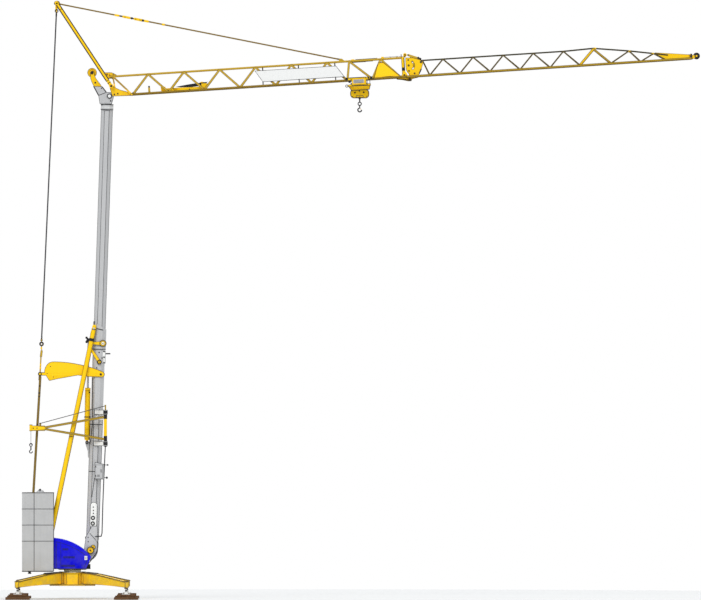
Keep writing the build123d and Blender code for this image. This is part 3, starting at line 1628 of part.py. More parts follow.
def lower_chord(side, start, end):
    """A square lower chord."""
    section = Plane(origin=jib_point(start, 0, 0), x_dir=(0, 1, 0), z_dir=jib_plane.x_dir)
    with BuildSketch(section) as chord:
        with Locations((side * jib_half_gauge, 0)):
            Rectangle(jib_chord, jib_chord)
            Rectangle(jib_chord - 2 * jib_chord_wall, jib_chord - 2 * jib_chord_wall, mode=Mode.SUBTRACT)
    extrude(chord.sketch, amount=end - start)


def trolley_rail(side, start, end):
    """The trolley's rail along a lower chord's outer face."""
    section = Plane(origin=jib_point(start, 0, 0), x_dir=(0, 1, 0), z_dir=jib_plane.x_dir)
    with BuildSketch(section) as rail:
        with Locations((side * (jib_half_gauge + jib_chord / 2 + jib_rail_width / 2), 0)):
            Rectangle(jib_rail_width, jib_rail_thickness)
    extrude(rail.sketch, amount=end - start)


def side_lattice(side, low_nodes, high_nodes, width, thickness, chord_radius):
    """Zigzag bars between a lower chord and the top chord."""
    path = sorted(low_nodes + high_nodes)
    bars = []
    for (u1, v1), (u2, v2) in zip(path, path[1:]):
        ends = []
        for u, v in ((u1, v1), (u2, v2)):
            y = side * jib_half_gauge if v == 0 else side * chord_radius * 2 * chord_seat_share
            ends.append(jib_point(u, y, v))
        bars.append(bar_solid(*ends, width, thickness))
    add(bars)
    run = low_nodes[-1][0] - low_nodes[0][0]
    with BuildSketch(jib_plane) as between:
        with Locations((low_nodes[0][0] + run / 2, 0)):
            Rectangle(2 * run, 2 * (jib_half_gauge - jib_chord / 2))
    extrude(between.sketch, amount=jib_chord / 2, both=True, mode=Mode.SUBTRACT)


inner_low_nodes = [(i * inner_pitch, 0) for i in range(inner_bays)]
inner_high_nodes = [(i * inner_pitch + inner_top_shift, inner_depth) for i in range(inner_bays - 1)]
inner_low_nodes += [(inner_reach + u, 0) for u in inner_last_lows]
inner_high_nodes += [(inner_reach + u, inner_depth) for u in inner_last_highs]
inner_top_end = inner_end_u - inner_top_end_gap

side_foot = Vector(0, jib_half_gauge, 0)
side_head = Vector(0, top_chord_diameter * chord_seat_share, inner_depth)
side_rise = (side_head - side_foot).normalized()
side_plane = Plane(
    origin=jib_point(0, jib_half_gauge, 0),
    x_dir=jib_plane.x_dir,
    z_dir=jib_plane.x_dir.cross(jib_point(*side_rise) - jib_point(0, 0, 0)),
)

web_start, web_end = (inner_reach + u for u in inner_last_lows)
web_peak = inner_reach + inner_last_highs[1]
inner_web = placed(inner_web_start, web_start, 0)
inner_web += placed(inner_web_peak, web_peak, inner_depth)
inner_web += placed(inner_web_end, web_end, 0)

with BuildPart() as inner_top_chord:
    tube(
        jib_point(inner_top_start, 0, inner_depth),
        jib_point(inner_top_end, 0, inner_depth),
        top_chord_diameter,
        top_chord_wall,
    )
    for side in (1, -1):
        lug_near = forestay_eye_half + plate_gap
        low, high = sorted((side * lug_near, side * (lug_near + forestay_lug)))
        jib_plate(placed(forestay_lug_outline, forestay_end_u, forestay_end_v), low, high)
    pin_end = lug_near + forestay_lug + pin_overhang / 2
    jib_round(forestay_end_u, forestay_end_v, forestay_pin_radius, -pin_end, pin_end)

with BuildPart() as inner_side:
    lower_chord(1, 0, inner_end_u)
    trolley_rail(1, 0, inner_end_u)
    side_lattice(1, inner_low_nodes, inner_high_nodes, inner_bar, inner_bar_thickness, top_chord_diameter / 2)
    with BuildSketch(Plane(origin=jib_point(0, 0, 0), x_dir=(0, 1, 0), z_dir=-jib_plane.x_dir)) as beyond:
        Rectangle(far, far)
    extrude(beyond.sketch, amount=inner_pitch, mode=Mode.SUBTRACT)
    with BuildSketch(side_plane) as end_web:
        with BuildLine():
            Polyline(*inner_web, close=True)
        make_face()
    extrude(end_web.sketch, amount=inner_web_half, both=True)
    tube(
        jib_point(inner_top_start - cut_over, 0, inner_depth),
        jib_point(inner_top_end + cut_over, 0, inner_depth),
        top_chord_diameter,
        mode=Mode.SUBTRACT,
    )

finish(inner_side, "jib_inner_side_left")

with BuildPart() as inner_side_right:
    add(mirror(inner_side.part, about=Plane.XZ))

finish(inner_side_right, "jib_inner_side_right")

finish(inner_top_chord, "jib_inner_top_chord")


def floor_lattice(nodes, width, thickness):
    """Cross bars and diagonals between the lower chords."""
    reach = jib_half_gauge - jib_chord / 2
    with BuildSketch(jib_plane) as floor:
        for u in nodes:
            with Locations((u, 0)):
                Rectangle(width, 2 * reach)
        for i, (u1, u2) in enumerate(zip(nodes, nodes[1:])):
            run = u2 - u1
            length = sqrt(run**2 + (2 * reach) ** 2)
            turn = (1 if i % 2 else -1) * Vector(run, 2 * reach, 0).get_angle(Vector(1, 0, 0))
            with Locations(((u1 + u2) / 2, 0)):
                Rectangle(length, width, rotation=turn)
        with Locations(((nodes[0] + nodes[-1]) / 2, 0)):
            Rectangle(nodes[-1] - nodes[0] + width, 2 * reach, mode=Mode.INTERSECT)
    extrude(floor.sketch, amount=thickness / 2, both=True)


with BuildPart() as inner_floor:
    floor_nodes = [inner_bar / 2 + i * inner_pitch for i in range(inner_bays + 1)]
    floor_lattice(floor_nodes, inner_bar, inner_bar_thickness)

finish(inner_floor, "jib_inner_floor")

outer_low_nodes = [(outer_first_node_u + i * outer_pitch, 0) for i in range(outer_bays)]
outer_high_nodes = [(outer_first_node_u - outer_first_lean, outer_depth)]
level_start = outer_first_node_u + outer_top_shift
outer_high_nodes += [(level_start + i * outer_pitch, outer_depth) for i in range(outer_level_bays)]
peak_v = outer_depth + outer_peak_rise
taper_nodes = [(outer_peak_u + run, peak_v - drop) for run, drop in outer_taper]
outer_high_nodes += [(outer_peak_u, peak_v), *taper_nodes[:-1]]
outer_low_nodes.append((outer_last_low_u, 0))


def top_chord(nodes, diameter, wall=0):
    """A tube that runs through the given nodes at y = 0."""
    points = [jib_point(u, 0, v) for u, v in nodes]
    with BuildLine() as path:
        Polyline(*points)
    with BuildSketch(Plane(origin=points[0], x_dir=(0, 1, 0), z_dir=points[1] - points[0])) as section:
        Circle(diameter / 2)
        if wall:
            Circle(diameter / 2 - wall, mode=Mode.SUBTRACT)
    return section.sketch, path.line


outer_chord_nodes = [
    (outer_start_u + outer_chord_setback, outer_depth),
    outer_high_nodes[outer_level_bays],
    (outer_peak_u, peak_v),
    *taper_nodes,
]

with BuildPart() as outer_chord_solid:
    sweep(*top_chord(outer_chord_nodes, outer_top_diameter), transition=Transition.RIGHT)

with BuildPart() as outer_top_chord:
    sweep(*top_chord(outer_chord_nodes, outer_top_diameter, outer_top_wall), transition=Transition.RIGHT)

finish(outer_top_chord, "jib_outer_top_chord")

with BuildPart() as outer_side:
    lower_chord(1, outer_start_u, outer_end_u)
    side_lattice(1, outer_low_nodes, outer_high_nodes, outer_bar, outer_bar_thickness, outer_top_diameter / 2)
    add(outer_chord_solid.part, mode=Mode.SUBTRACT)

finish(outer_side, "jib_outer_side_left")

with BuildPart() as outer_rails:
    for side in (1, -1):
        trolley_rail(side, outer_start_u, outer_end_u)

finish(outer_rails, "jib_outer_rails")

with BuildPart() as outer_side_right:
    add(mirror(outer_side.part, about=Plane.XZ))

finish(outer_side_right, "jib_outer_side_right")

with BuildPart() as outer_floor:
    floor_lattice([u for u, v in outer_low_nodes], outer_bar, outer_bar_thickness)

finish(outer_floor, "jib_outer_floor")


# Fold joint: a portal at the end of the inner section and plates on the outer one

portal_u = inner_end_u - portal_setback
portal_end = portal_y + portal_half
hinge_y = portal_y + hinge_plate
chord_inside = jib_half_gauge - jib_chord / 2

with BuildPart() as jib_end_frame:
    for side in (1, -1):
        low, high = sorted((side * (portal_y - portal_half), side * portal_end))
        jib_plate(
            [
                (portal_u - portal_post_half, -portal_foot),
                (portal_u - portal_post_half, inner_depth - portal_half),
                (portal_u + portal_post_half, inner_depth - portal_half),
                (portal_u + portal_post_half, -portal_foot),
            ],
            low,
            high,
        )
        low, high = sorted((side * portal_y, side * hinge_y))
        jib_plate(
            [
                (portal_u - hinge_gusset_heel, jib_chord / 2),
                (portal_u - hinge_gusset_shoulder, hinge_gusset_rise),
                (portal_u - portal_post_half, hinge_gusset_height),
                (portal_u + portal_post_half, hinge_gusset_height),
                (hinge_pin_u + hinge_eye_half, hinge_pin_v + hinge_eye_rise),
                (hinge_pin_u + hinge_eye_half, hinge_pin_v - hinge_eye_half),
                (hinge_pin_u - hinge_eye_half, hinge_pin_v - hinge_eye_half),
                (portal_u - hinge_gusset_tail, -portal_foot),
                (portal_u - hinge_gusset_heel, -jib_chord / 2),
            ],
            low,
            high,
        )
        low, high = sorted((side * portal_y, side * chord_inside))
        jib_plate(
            [
                (portal_u - hinge_gusset_heel + 2 * cut_over, -jib_chord / 2),
                (portal_u - hinge_gusset_heel + 2 * cut_over, jib_chord / 2),
                (portal_u + portal_post_half, jib_chord / 2),
                (portal_u + portal_post_half, -jib_chord / 2),
            ],
            low,
            high,
        )
        low, high = sorted((side * portal_y, side * (hinge_y + hinge_pin_proud)))
        jib_round(hinge_pin_u, hinge_pin_v, hinge_pin_diameter / 2, low, high)
    jib_plate(
        [
            (portal_u - portal_post_half, inner_depth - portal_half),
            (portal_u - portal_post_half, inner_depth + portal_half),
            (portal_u + portal_post_half, inner_depth + portal_half),
            (portal_u + portal_post_half, inner_depth - portal_half),
        ],
        -portal_end,
        portal_end,
    )
    tube(
        jib_point(inner_top_start, 0, inner_depth),
        jib_point(inner_top_end, 0, inner_depth),
        top_chord_diameter,
        mode=Mode.SUBTRACT,
    )

finish(jib_end_frame, "jib_end_frame")

slot_centre = placed([hinge_slot_centre], hinge_pin_u, hinge_pin_v)[0]
slot_angles = [
    radians(hinge_slot_half_angle * (2 * i / hinge_slot_steps - 1)) for i in range(hinge_slot_steps + 1)
]
slot_edge = [(hinge_slot_outer * cos(a), hinge_slot_outer * sin(a)) for a in slot_angles]
slot_edge += [(hinge_slot_inner * cos(a), hinge_slot_inner * sin(a)) for a in reversed(slot_angles)]

with BuildPart() as hinge_plates:
    for side in (1, -1):
        low, high = sorted((side * (hinge_y + plate_gap), side * chord_inside))
        jib_plate(placed(outer_hinge_outline, hinge_pin_u, hinge_pin_v), low, high)
        jib_round(hinge_pin_u, hinge_pin_v, hinge_pin_diameter / 2 + running_gap, low, high, mode=Mode.SUBTRACT)
        jib_plate(placed(slot_edge, *slot_centre), low, high, mode=Mode.SUBTRACT)
        for hole_u, hole_v in placed(hinge_holes, hinge_pin_u, hinge_pin_v):
            jib_round(hole_u, hole_v, hinge_hole_radius, low, high, mode=Mode.SUBTRACT)
    cross_u = hinge_pin_u + hinge_cross_u
    jib_plate(
        [
            (cross_u - portal_half, outer_depth - portal_half),
            (cross_u - portal_half, outer_depth + portal_half),
            (cross_u + portal_half, outer_depth + portal_half),
            (cross_u + portal_half, outer_depth - portal_half),
        ],
        -hinge_y - plate_gap,
        hinge_y + plate_gap,
    )
    tube(
        jib_point(outer_start_u, 0, outer_depth),
        jib_point(outer_end_u, 0, outer_depth),
        outer_top_diameter,
        mode=Mode.SUBTRACT,
    )

finish(hinge_plates, "fold_hinge_plates")


# Bare panel on the right side of the inner section

right_side_plane = Plane(
    origin=jib_point(0, -jib_half_gauge, 0),
    x_dir=jib_plane.x_dir,
    z_dir=(jib_point(-side_rise.X, side_rise.Y, -side_rise.Z) - jib_point(0, 0, 0)).cross(jib_plane.x_dir),
)

with BuildPart() as sign_panel:
    with BuildSketch(right_side_plane.offset(panel_stand)) as panel:
        with BuildLine():
            Polyline(*[(u, v / side_rise.Z) for u, v in panel_corners], close=True)
        make_face()
    extrude(panel.sketch, amount=panel_thickness)

finish(sign_panel, "sign_panel")


# Trolley winch on the inner section's floor

bed_bottom = inner_bar_thickness / 2
bed_end = winch_drum_u + winch_cheek_front
cheek_inner = winch_bed_outer - winch_cheek

with BuildPart() as trolley_winch:
    for side in (1, -1):
        low, high = sorted((side * winch_bed_inner, side * winch_bed_outer))
        jib_plate(
            [
                (winch_start_u, bed_bottom),
                (winch_start_u, bed_bottom + winch_bed_back),
                (bed_end, bed_bottom + winch_bed_front),
                (bed_end, bed_bottom),
            ],
            low,
            high,
        )
        low, high = sorted((side * cheek_inner, side * winch_bed_outer))
        jib_plate(
            [
                (winch_drum_u - winch_cheek_half, bed_bottom + winch_cheek_base),
                (winch_drum_u - winch_cheek_top_half, winch_drum_v + winch_cheek_top_half),
                (winch_drum_u + winch_cheek_top_half, winch_drum_v + winch_cheek_top_half),
                (bed_end, bed_bottom + winch_cheek_base),
            ],
            low,
            high,
        )
        low, high = sorted((side * (cheek_inner - winch_flange), side * cheek_inner))
        jib_round(winch_drum_u, winch_drum_v, winch_drum_radius + winch_flange_proud, low, high)
    for u in (winch_start_u, bed_end - winch_length / 4, bed_end - winch_cross):
        jib_plate(
            [
                (u, bed_bottom),
                (u, bed_bottom + winch_cheek_base),
                (u + winch_cross, bed_bottom + winch_cheek_base),
                (u + winch_cross, bed_bottom),
            ],
            -winch_bed_inner,
            winch_bed_inner,
        )
    jib_round(winch_drum_u, winch_drum_v, winch_drum_radius, -cheek_inner, cheek_inner)
    motor_end = winch_bed_outer + winch_motor_length
    jib_round(winch_drum_u, winch_drum_v, winch_motor_radius, winch_bed_outer, motor_end)

finish(trolley_winch, "trolley_winch")


# Jib tip: a fin under the top chord, an end beam and the return sheave

with BuildPart() as jib_tip_frame:
    jib_plate(
        [
            (outer_end_u - tip_fin_back, tip_fin_back_height),
            (outer_end_u, tip_fin_height),
            (outer_end_u, tip_fin_low),
            (outer_end_u - tip_fin_low_back, tip_fin_low),
        ],
        -tip_fin_half,
        tip_fin_half,
    )
    jib_plate(
        [
            (outer_end_u - jib_chord, -jib_chord / 2),
            (outer_end_u - jib_chord, jib_chord / 2),
            (outer_end_u, jib_chord / 2),
            (outer_end_u, -jib_chord / 2),
        ],
        -chord_inside,
        chord_inside,
    )
    for side in (1, -1):
        low, high = sorted((side * tip_cheek_inner, side * tip_cheek_outer))
        jib_plate(
            [
                (outer_end_u - tip_cheek_back, -tip_cheek_low),
                (outer_end_u - tip_cheek_back, tip_cheek_height),
                (tip_sheave_u + tip_cheek_nose, tip_sheave_v + tip_cheek_nose),
                (tip_sheave_u + tip_cheek_nose, tip_sheave_v - tip_cheek_nose),
                (outer_end_u + cut_over, -tip_cheek_low),
            ],
            low,
            high,
        )
    jib_plate(
        [
            (outer_end_u - tip_cheek_back, jib_chord / 2),
            (outer_end_u - tip_cheek_back, tip_cheek_height),
            (outer_end_u - tip_cheek_back / 2, tip_cheek_height),
            (outer_end_u - tip_cheek_back / 2, jib_chord / 2),
        ],
        -tip_cheek_outer,
        tip_cheek_outer,
    )
    jib_round(tip_sheave_u, tip_sheave_v, tip_axle_radius, -tip_axle_half, tip_axle_half)
    add(outer_chord_solid.part, mode=Mode.SUBTRACT)

finish(jib_tip_frame, "jib_tip_frame")

with BuildPart() as jib_tip_sheave:
    jib_round(tip_sheave_u, tip_sheave_v, tip_sheave_radius, -tip_sheave_half, tip_sheave_half)
    jib_round(tip_sheave_u, tip_sheave_v, tip_axle_radius + running_gap, -far, far, mode=Mode.SUBTRACT)

finish(jib_tip_sheave, "jib_tip_sheave")


# Trolley on the lower chords' rails, with the hoist's sheave cage under it

trolley_side = jib_half_gauge + jib_chord / 2 + jib_rail_width + trolley_side_gap
wheel_v = jib_rail_thickness / 2 + running_gap + trolley_wheel_radius
wheel_far = trolley_side - plate_gap
wheel_near = wheel_far - trolley_wheel_width
side_edge = [
    (-trolley_half_length, trolley_step_v),
    (-trolley_half_length, trolley_half_top),
    (trolley_half_length, trolley_half_top),
    (trolley_half_length, trolley_step_v),
    (trolley_waist_half, -trolley_step_v),
    (trolley_waist_half, trolley_waist_v),
    (trolley_skirt[1], trolley_cross_top),
    (trolley_skirt[1], trolley_cross_bottom),
    (-trolley_skirt[0], trolley_cross_bottom),
    (-trolley_skirt[0], trolley_cross_top),
    (-trolley_waist_half, trolley_waist_v),
    (-trolley_waist_half, -trolley_step_v),
]
cage_edge = [
    (-trolley_skirt[0], trolley_cross_top),
    (trolley_skirt[1], trolley_cross_top),
    (cage_bottom_reach[1], cage_bottom),
    (-cage_bottom_reach[0], cage_bottom),
]

with BuildPart() as trolley_side_plates:
    for side in (1, -1):
        low, high = sorted((side * trolley_side, side * (trolley_side + trolley_plate)))
        jib_plate(placed(side_edge, trolley_u, 0), low, high)

finish(trolley_side_plates, "trolley_side_plates")

with BuildPart() as trolley_cage:
    for du in trolley_cross_places:
        jib_plate(
            [
                (trolley_u + du - trolley_cross_half, trolley_cross_bottom),
                (trolley_u + du - trolley_cross_half, trolley_cross_top),
                (trolley_u + du + trolley_cross_half, trolley_cross_top),
                (trolley_u + du + trolley_cross_half, trolley_cross_bottom),
            ],
            -trolley_side,
            trolley_side,
        )
    for side in (1, -1):
        low, high = sorted((side * cage_inner_y, side * (cage_inner_y + cage_plate)))
        jib_plate(placed(cage_edge, trolley_u, 0), low, high)
    for du in (-fall_sheave_pitch / 2, fall_sheave_pitch / 2):
        jib_round(trolley_u + du, fall_sheave_v, fall_axle_radius, -cage_inner_y, cage_inner_y)

finish(trolley_cage, "trolley_cage")

with BuildPart() as trolley_sheaves:
    for du in (-fall_sheave_pitch / 2, fall_sheave_pitch / 2):
        jib_round(trolley_u + du, fall_sheave_v, fall_sheave_radius, -fall_sheave_half, fall_sheave_half)
        jib_round(trolley_u + du, fall_sheave_v, fall_axle_radius + running_gap, -far, far, mode=Mode.SUBTRACT)

finish(trolley_sheaves, "trolley_sheaves")

with BuildPart() as trolley_wheels:
    for side in (1, -1):
        for du in (-trolley_wheel_base / 2, trolley_wheel_base / 2):
            low, high = sorted((side * wheel_near, side * wheel_far))
            jib_round(trolley_u + du, wheel_v, trolley_wheel_radius, low, high)
            low, high = sorted((side * wheel_near, side * trolley_side))
            jib_round(trolley_u + du, wheel_v, trolley_wheel_axle, low, high)

finish(trolley_wheels, "trolley_wheels")

sheave_centre = jib_point(trolley_u, 0, fall_sheave_v)
block_x = sheave_centre.X
fall_step = fall_sheave_pitch / 2 * cos(slope)
fall_offset = fall_sheave_radius + fall_diameter / 2 + running_gap
falls_top = sheave_centre.Z
block_top = falls_top - hook_block_drop
block_bottom = block_top - hook_block_height
block_sheave_z = block_bottom + hook_block_sheave_rise
hook_centre_z = block_bottom - hook_drop

with BuildPart() as hook_block:
    for side in (1, -1):
        low, high = sorted((side * (hook_block_half - hook_block_plate), side * hook_block_half))
        with BuildSketch(Plane.XZ.offset(-high)) as cheek:
            with Locations((block_x, (block_top + block_bottom) / 2)):
                Rectangle(hook_block_width, hook_block_height)
            fillet(cheek.vertices().group_by(Axis.Z)[0], hook_block_corner)
        extrude(amount=high - low)
    for dx in (-fall_step, fall_step):
        across(block_x + dx, block_sheave_z, fall_axle_radius, -hook_block_half, hook_block_half)
        across(block_x + dx, block_sheave_z, fall_sheave_radius, -fall_sheave_half, fall_sheave_half)
    with Locations((block_x, 0, block_bottom + hook_beam_rise)):
        Box(hook_beam_length, 2 * hook_block_half, hook_beam_height)

finish(hook_block, "hook_block")

with BuildPart() as hoist_falls:
    for dx in (-fall_step, fall_step):
        for reach in (-fall_offset, fall_offset):
            fall_x = block_x + dx + reach
            tube((fall_x, 0, block_sheave_z), (fall_x, 0, falls_top), fall_diameter)

finish(hoist_falls, "hoist_falls")

hook_top = block_bottom + hook_beam_rise - hook_beam_height / 2 - running_gap

with BuildPart() as load_hook:
    tube((block_x, 0, hook_top), (block_x, 0, hook_centre_z + hook_radius), hook_bar)
    across(block_x, block_bottom - hook_ring_drop, hook_ring_radius, -hook_ring_half, hook_ring_half)
    hook_shape(block_x, 0, hook_centre_z, hook_radius, hook_bar)

finish(load_hook, "load_hook")
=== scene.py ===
import json
import math

import bmesh
import bpy
from mathutils import Matrix, Vector


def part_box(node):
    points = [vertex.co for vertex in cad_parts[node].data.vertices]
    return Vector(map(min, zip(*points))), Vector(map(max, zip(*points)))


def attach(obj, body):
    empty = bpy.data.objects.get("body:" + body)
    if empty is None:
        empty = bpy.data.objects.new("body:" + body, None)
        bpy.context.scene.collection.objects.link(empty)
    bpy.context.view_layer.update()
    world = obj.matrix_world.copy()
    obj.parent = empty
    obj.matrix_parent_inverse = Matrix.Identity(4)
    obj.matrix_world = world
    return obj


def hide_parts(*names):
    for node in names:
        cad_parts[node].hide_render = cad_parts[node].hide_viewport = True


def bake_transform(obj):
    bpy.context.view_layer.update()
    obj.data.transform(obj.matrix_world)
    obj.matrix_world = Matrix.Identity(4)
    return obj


# Dressing of a self-erecting tower crane. Metres, +Z up, jib along +X.

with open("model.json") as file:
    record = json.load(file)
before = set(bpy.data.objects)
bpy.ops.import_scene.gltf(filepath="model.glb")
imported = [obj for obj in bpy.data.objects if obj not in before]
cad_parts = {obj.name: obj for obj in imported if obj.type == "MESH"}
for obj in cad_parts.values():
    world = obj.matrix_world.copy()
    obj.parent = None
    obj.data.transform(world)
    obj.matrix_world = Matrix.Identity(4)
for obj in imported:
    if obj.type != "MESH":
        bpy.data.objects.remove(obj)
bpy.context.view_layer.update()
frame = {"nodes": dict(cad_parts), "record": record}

ACROSS = Vector((0, 1, 0))
UP = Vector((0, 0, 1))
SIDES = (-1, 1)
CORNERS = tuple((sx, sy) for sx in SIDES for sy in SIDES)


# Mast and jib frames: their first axis runs along, their last one square to it

MAST_LEAN = math.radians(1.93)
JIB_SLOPE = math.radians(3.685)


def tilted(origin, along, up):
    """A frame whose X, Y and Z are along, across and up, at origin."""
    turn = Matrix((along, up.cross(along), up)).transposed().to_4x4()
    return Matrix.Translation(origin) @ turn


mast_up = Vector((math.sin(MAST_LEAN), 0, math.cos(MAST_LEAN)))
mast_fore = Vector((math.cos(MAST_LEAN), 0, -math.sin(MAST_LEAN)))
jib_out = Vector((math.cos(JIB_SLOPE), 0, math.sin(JIB_SLOPE)))
jib_up = Vector((-math.sin(JIB_SLOPE), 0, math.cos(JIB_SLOPE)))
MAST = tilted(Vector((0.85, 0, 2.507)), mast_fore, mast_up)
JIB = tilted(Vector((2.5666, 0, 21.4446)), jib_out, jib_up)
WORLD = Matrix.Identity(4)


# Camera, light and floor

VIEW_CENTRE = Vector((11.815, 0, 12.7075))
VIEW_WIDTH = 29.793
LENS = 1200
SENSOR = 36

camera_data = bpy.data.cameras.new("camera")
camera_data.lens = LENS
camera_data.sensor_width = SENSOR
camera_data.clip_start = 100
camera_data.clip_end = 3000
camera = bpy.data.objects.new("camera", camera_data)
camera.location = VIEW_CENTRE - ACROSS * (VIEW_WIDTH * LENS / SENSOR)
camera.rotation_euler = (math.radians(90), 0, 0)
bpy.context.scene.collection.objects.link(camera)
bpy.context.scene.camera = camera


def lamp(name, energy, spread, tilt, turn):
    """A soft sun that shines down at tilt from the upright, from the side that turn gives."""
    data = bpy.data.lights.new(name, "SUN")
    data.energy = energy
    data.angle = math.radians(spread)
    obj = bpy.data.objects.new(name, data)
    obj.rotation_euler = (math.radians(tilt), 0, math.radians(turn))
    bpy.context.scene.collection.objects.link(obj)


lamp("key_light", 1.5, 25, 48, -28)
lamp("fill_light", 0.5, 60, 62, 55)
lamp("back_light", 0.7, 40, 55, 170)


def add_node(tree, kind, inputs=None, **settings):
    """A node with its settings; each input takes a socket or a plain value."""
    node = tree.nodes.new(kind)
    for name, value in settings.items():
        setattr(node, name, value)
    for name, value in (inputs or {}).items():
        if isinstance(value, bpy.types.NodeSocket):
            tree.links.new(value, node.inputs[name])
        else:
            node.inputs[name].default_value = value
    return node


sky = bpy.data.worlds.new("studio")
bpy.context.scene.world = sky
sky.use_nodes = True
sky_tree = sky.node_tree
sky_tree.nodes.clear()
sky_path = add_node(sky_tree, "ShaderNodeLightPath")
light_values = {"Color": (0.93, 0.96, 1, 1), "Strength": 0.62}
backdrop_values = {"Color": (1, 1, 1, 1), "Strength": 1}
sky_light = add_node(sky_tree, "ShaderNodeBackground", light_values)
sky_seen = add_node(sky_tree, "ShaderNodeBackground", backdrop_values)
sky_layers = {0: sky_path.outputs["Is Camera Ray"], 1: sky_light.outputs[0], 2: sky_seen.outputs[0]}
sky_mix = add_node(sky_tree, "ShaderNodeMixShader", sky_layers)
add_node(sky_tree, "ShaderNodeOutputWorld", {"Surface": sky_mix.outputs[0]})
bpy.context.scene.view_settings.view_transform = "Standard"


# Surface effects that several finishes share

NUMBER = "NodeSocketFloat"


def effect(name, ins, outs):
    """A new shader node group with number inputs and named outputs."""
    group = bpy.data.node_groups.new(name, "ShaderNodeTree")
    for label, value in ins.items():
        socket = group.interface.new_socket(label, in_out="INPUT", socket_type=NUMBER)
        socket.default_value = value
    for label in outs:
        group.interface.new_socket(label, in_out="OUTPUT", socket_type=NUMBER)
    return group, group.nodes.new("NodeGroupInput"), group.nodes.new("NodeGroupOutput")


def object_place(tree):
    """The place on the object that patterns are laid out by."""
    return add_node(tree, "ShaderNodeTexCoord").outputs["Object"]


def stretched_noise(tree, scale, detail, stretch=(1, 1, 1), roughness=0.55):
    """Noise on object coordinates that are scaled by stretch first; scale is a number or a socket."""
    mapping = add_node(tree, "ShaderNodeMapping", {"Vector": object_place(tree), "Scale": stretch})
    values = {"Scale": scale, "Detail": detail, "Roughness": roughness}
    values["Vector"] = mapping.outputs["Vector"]
    return add_node(tree, "ShaderNodeTexNoise", values).outputs["Fac"]


def mapped(tree, value, limits):
    """Value mapped from 0..1 to 0..1, except where limits say otherwise."""
    return add_node(tree, "ShaderNodeMapRange", {"Value": value, **limits}).outputs["Result"]


def threshold(tree, value, low, high):
    """Value mapped from low..high to 0..1."""
    return mapped(tree, value, {"From Min": low, "From Max": high})


def worked_out(tree, kind, first, second):
    """The result of a sum on two sockets or numbers."""
    return add_node(tree, "ShaderNodeMath", {0: first, 1: second}, operation=kind).outputs[0]


def make_weathering():
    """Rain streaks, faded patches and small chips in paint."""
    labels = ("Streaks", "Patches", "Chips")
    group, ins, outs = effect("weathering", dict(zip(labels, (0.3, 0.3, 0.2))), labels)
    streaks = stretched_noise(group, 2.2, 5, (5, 5, 0.35))
    patches = stretched_noise(group, 0.55, 4)
    chips = stretched_noise(group, 26, 6, roughness=0.7)
    ranges = ((0.5, 0.8), (0.38, 0.72), (0.66, 0.7))
    for label, value, (low, high) in zip(labels, (streaks, patches, chips), ranges):
        limits = {"From Min": low, "From Max": high, "To Max": ins.outputs[label]}
        group.links.new(mapped(group, value, limits), outs.inputs[label])
    return group


def make_dirt():
    """Dust that gathers near the ground."""
    group, ins, outs = effect("ground_dirt", {"Height": 3, "Amount": 0.5}, ["Dirt"])
    level = add_node(group, "ShaderNodeSeparateXYZ", {0: object_place(group)}).outputs["Z"]
    limits = {"From Min": 0, "From Max": ins.outputs["Height"], "To Min": 1, "To Max": 0}
    fall = mapped(group, level, limits)
    spots = threshold(group, stretched_noise(group, 3.5, 6), 0.35, 0.75)
    both = worked_out(group, "MULTIPLY", fall, spots)
    group.links.new(worked_out(group, "MULTIPLY", both, ins.outputs["Amount"]), outs.inputs["Dirt"])
    return group


def make_grain():
    """Fine grain for rough or textured surfaces: a height and a tone."""
    group, ins, outs = effect("fine_grain", {"Scale": 60}, ["Height", "Tone"])
    fine = stretched_noise(group, ins.outputs["Scale"], 8, roughness=0.65)
    group.links.new(fine, outs.inputs["Height"])
    group.links.new(stretched_noise(group, 2.4, 5), outs.inputs["Tone"])
    return group


weathering = make_weathering()
ground_dirt = make_dirt()
fine_grain = make_grain()


def use_effect(tree, group, **values):
    """The outputs of the group placed in a material with its own values."""
    return add_node(tree, "ShaderNodeGroup", values, node_tree=group).outputs


def blend_colour(tree, factor, first, second, kind="MIX"):
    """First colour towards second by factor; each is a socket or a plain colour."""
    first, second = (c if isinstance(c, bpy.types.NodeSocket) else (*c, 1) for c in (first, second))
    values = {"Factor": factor, "A": first, "B": second}
    mix = add_node(tree, "ShaderNodeMix", values, data_type="RGBA", blend_type=kind)
    return mix.outputs["Result"]


def new_finish(name, roughness, metallic=0.0, coat=0.0):
    """A material with its Principled shader, ready for its colour."""
    finish = bpy.data.materials.new(name)
    finish.use_nodes = True
    tree = finish.node_tree
    shader = tree.nodes["Principled BSDF"]
    shader.inputs["Roughness"].default_value = roughness
    shader.inputs["Metallic"].default_value = metallic
    shader.inputs["Coat Weight"].default_value = coat
    return finish, tree, shader


def bump(tree, shader, height, strength, distance):
    """Relief from a height socket."""
    values = {"Height": height, "Strength": strength, "Distance": distance}
    node = add_node(tree, "ShaderNodeBump", values)
    tree.links.new(node.outputs["Normal"], shader.inputs["Normal"])


def rougher(tree, shader, value, roughness, rise):
    """Roughness that grows by rise with value."""
    result = mapped(tree, value, {"To Min": roughness, "To Max": min(1, roughness + rise)})
    tree.links.new(result, shader.inputs["Roughness"])


def two_tone(tree, tone, colour, limits):
    """A second colour beyond sloping lines; each limit is a direction and the distance along it."""
    place = object_place(tree)
    mask = None
    for direction, distance in limits:
        line = {0: place, 1: direction}
        along = add_node(tree, "ShaderNodeVectorMath", line, operation="DOT_PRODUCT")
        past = worked_out(tree, "GREATER_THAN", along.outputs["Value"], distance)
        mask = past if mask is None else worked_out(tree, "MULTIPLY", mask, past)
    return blend_colour(tree, mask, tone, colour)


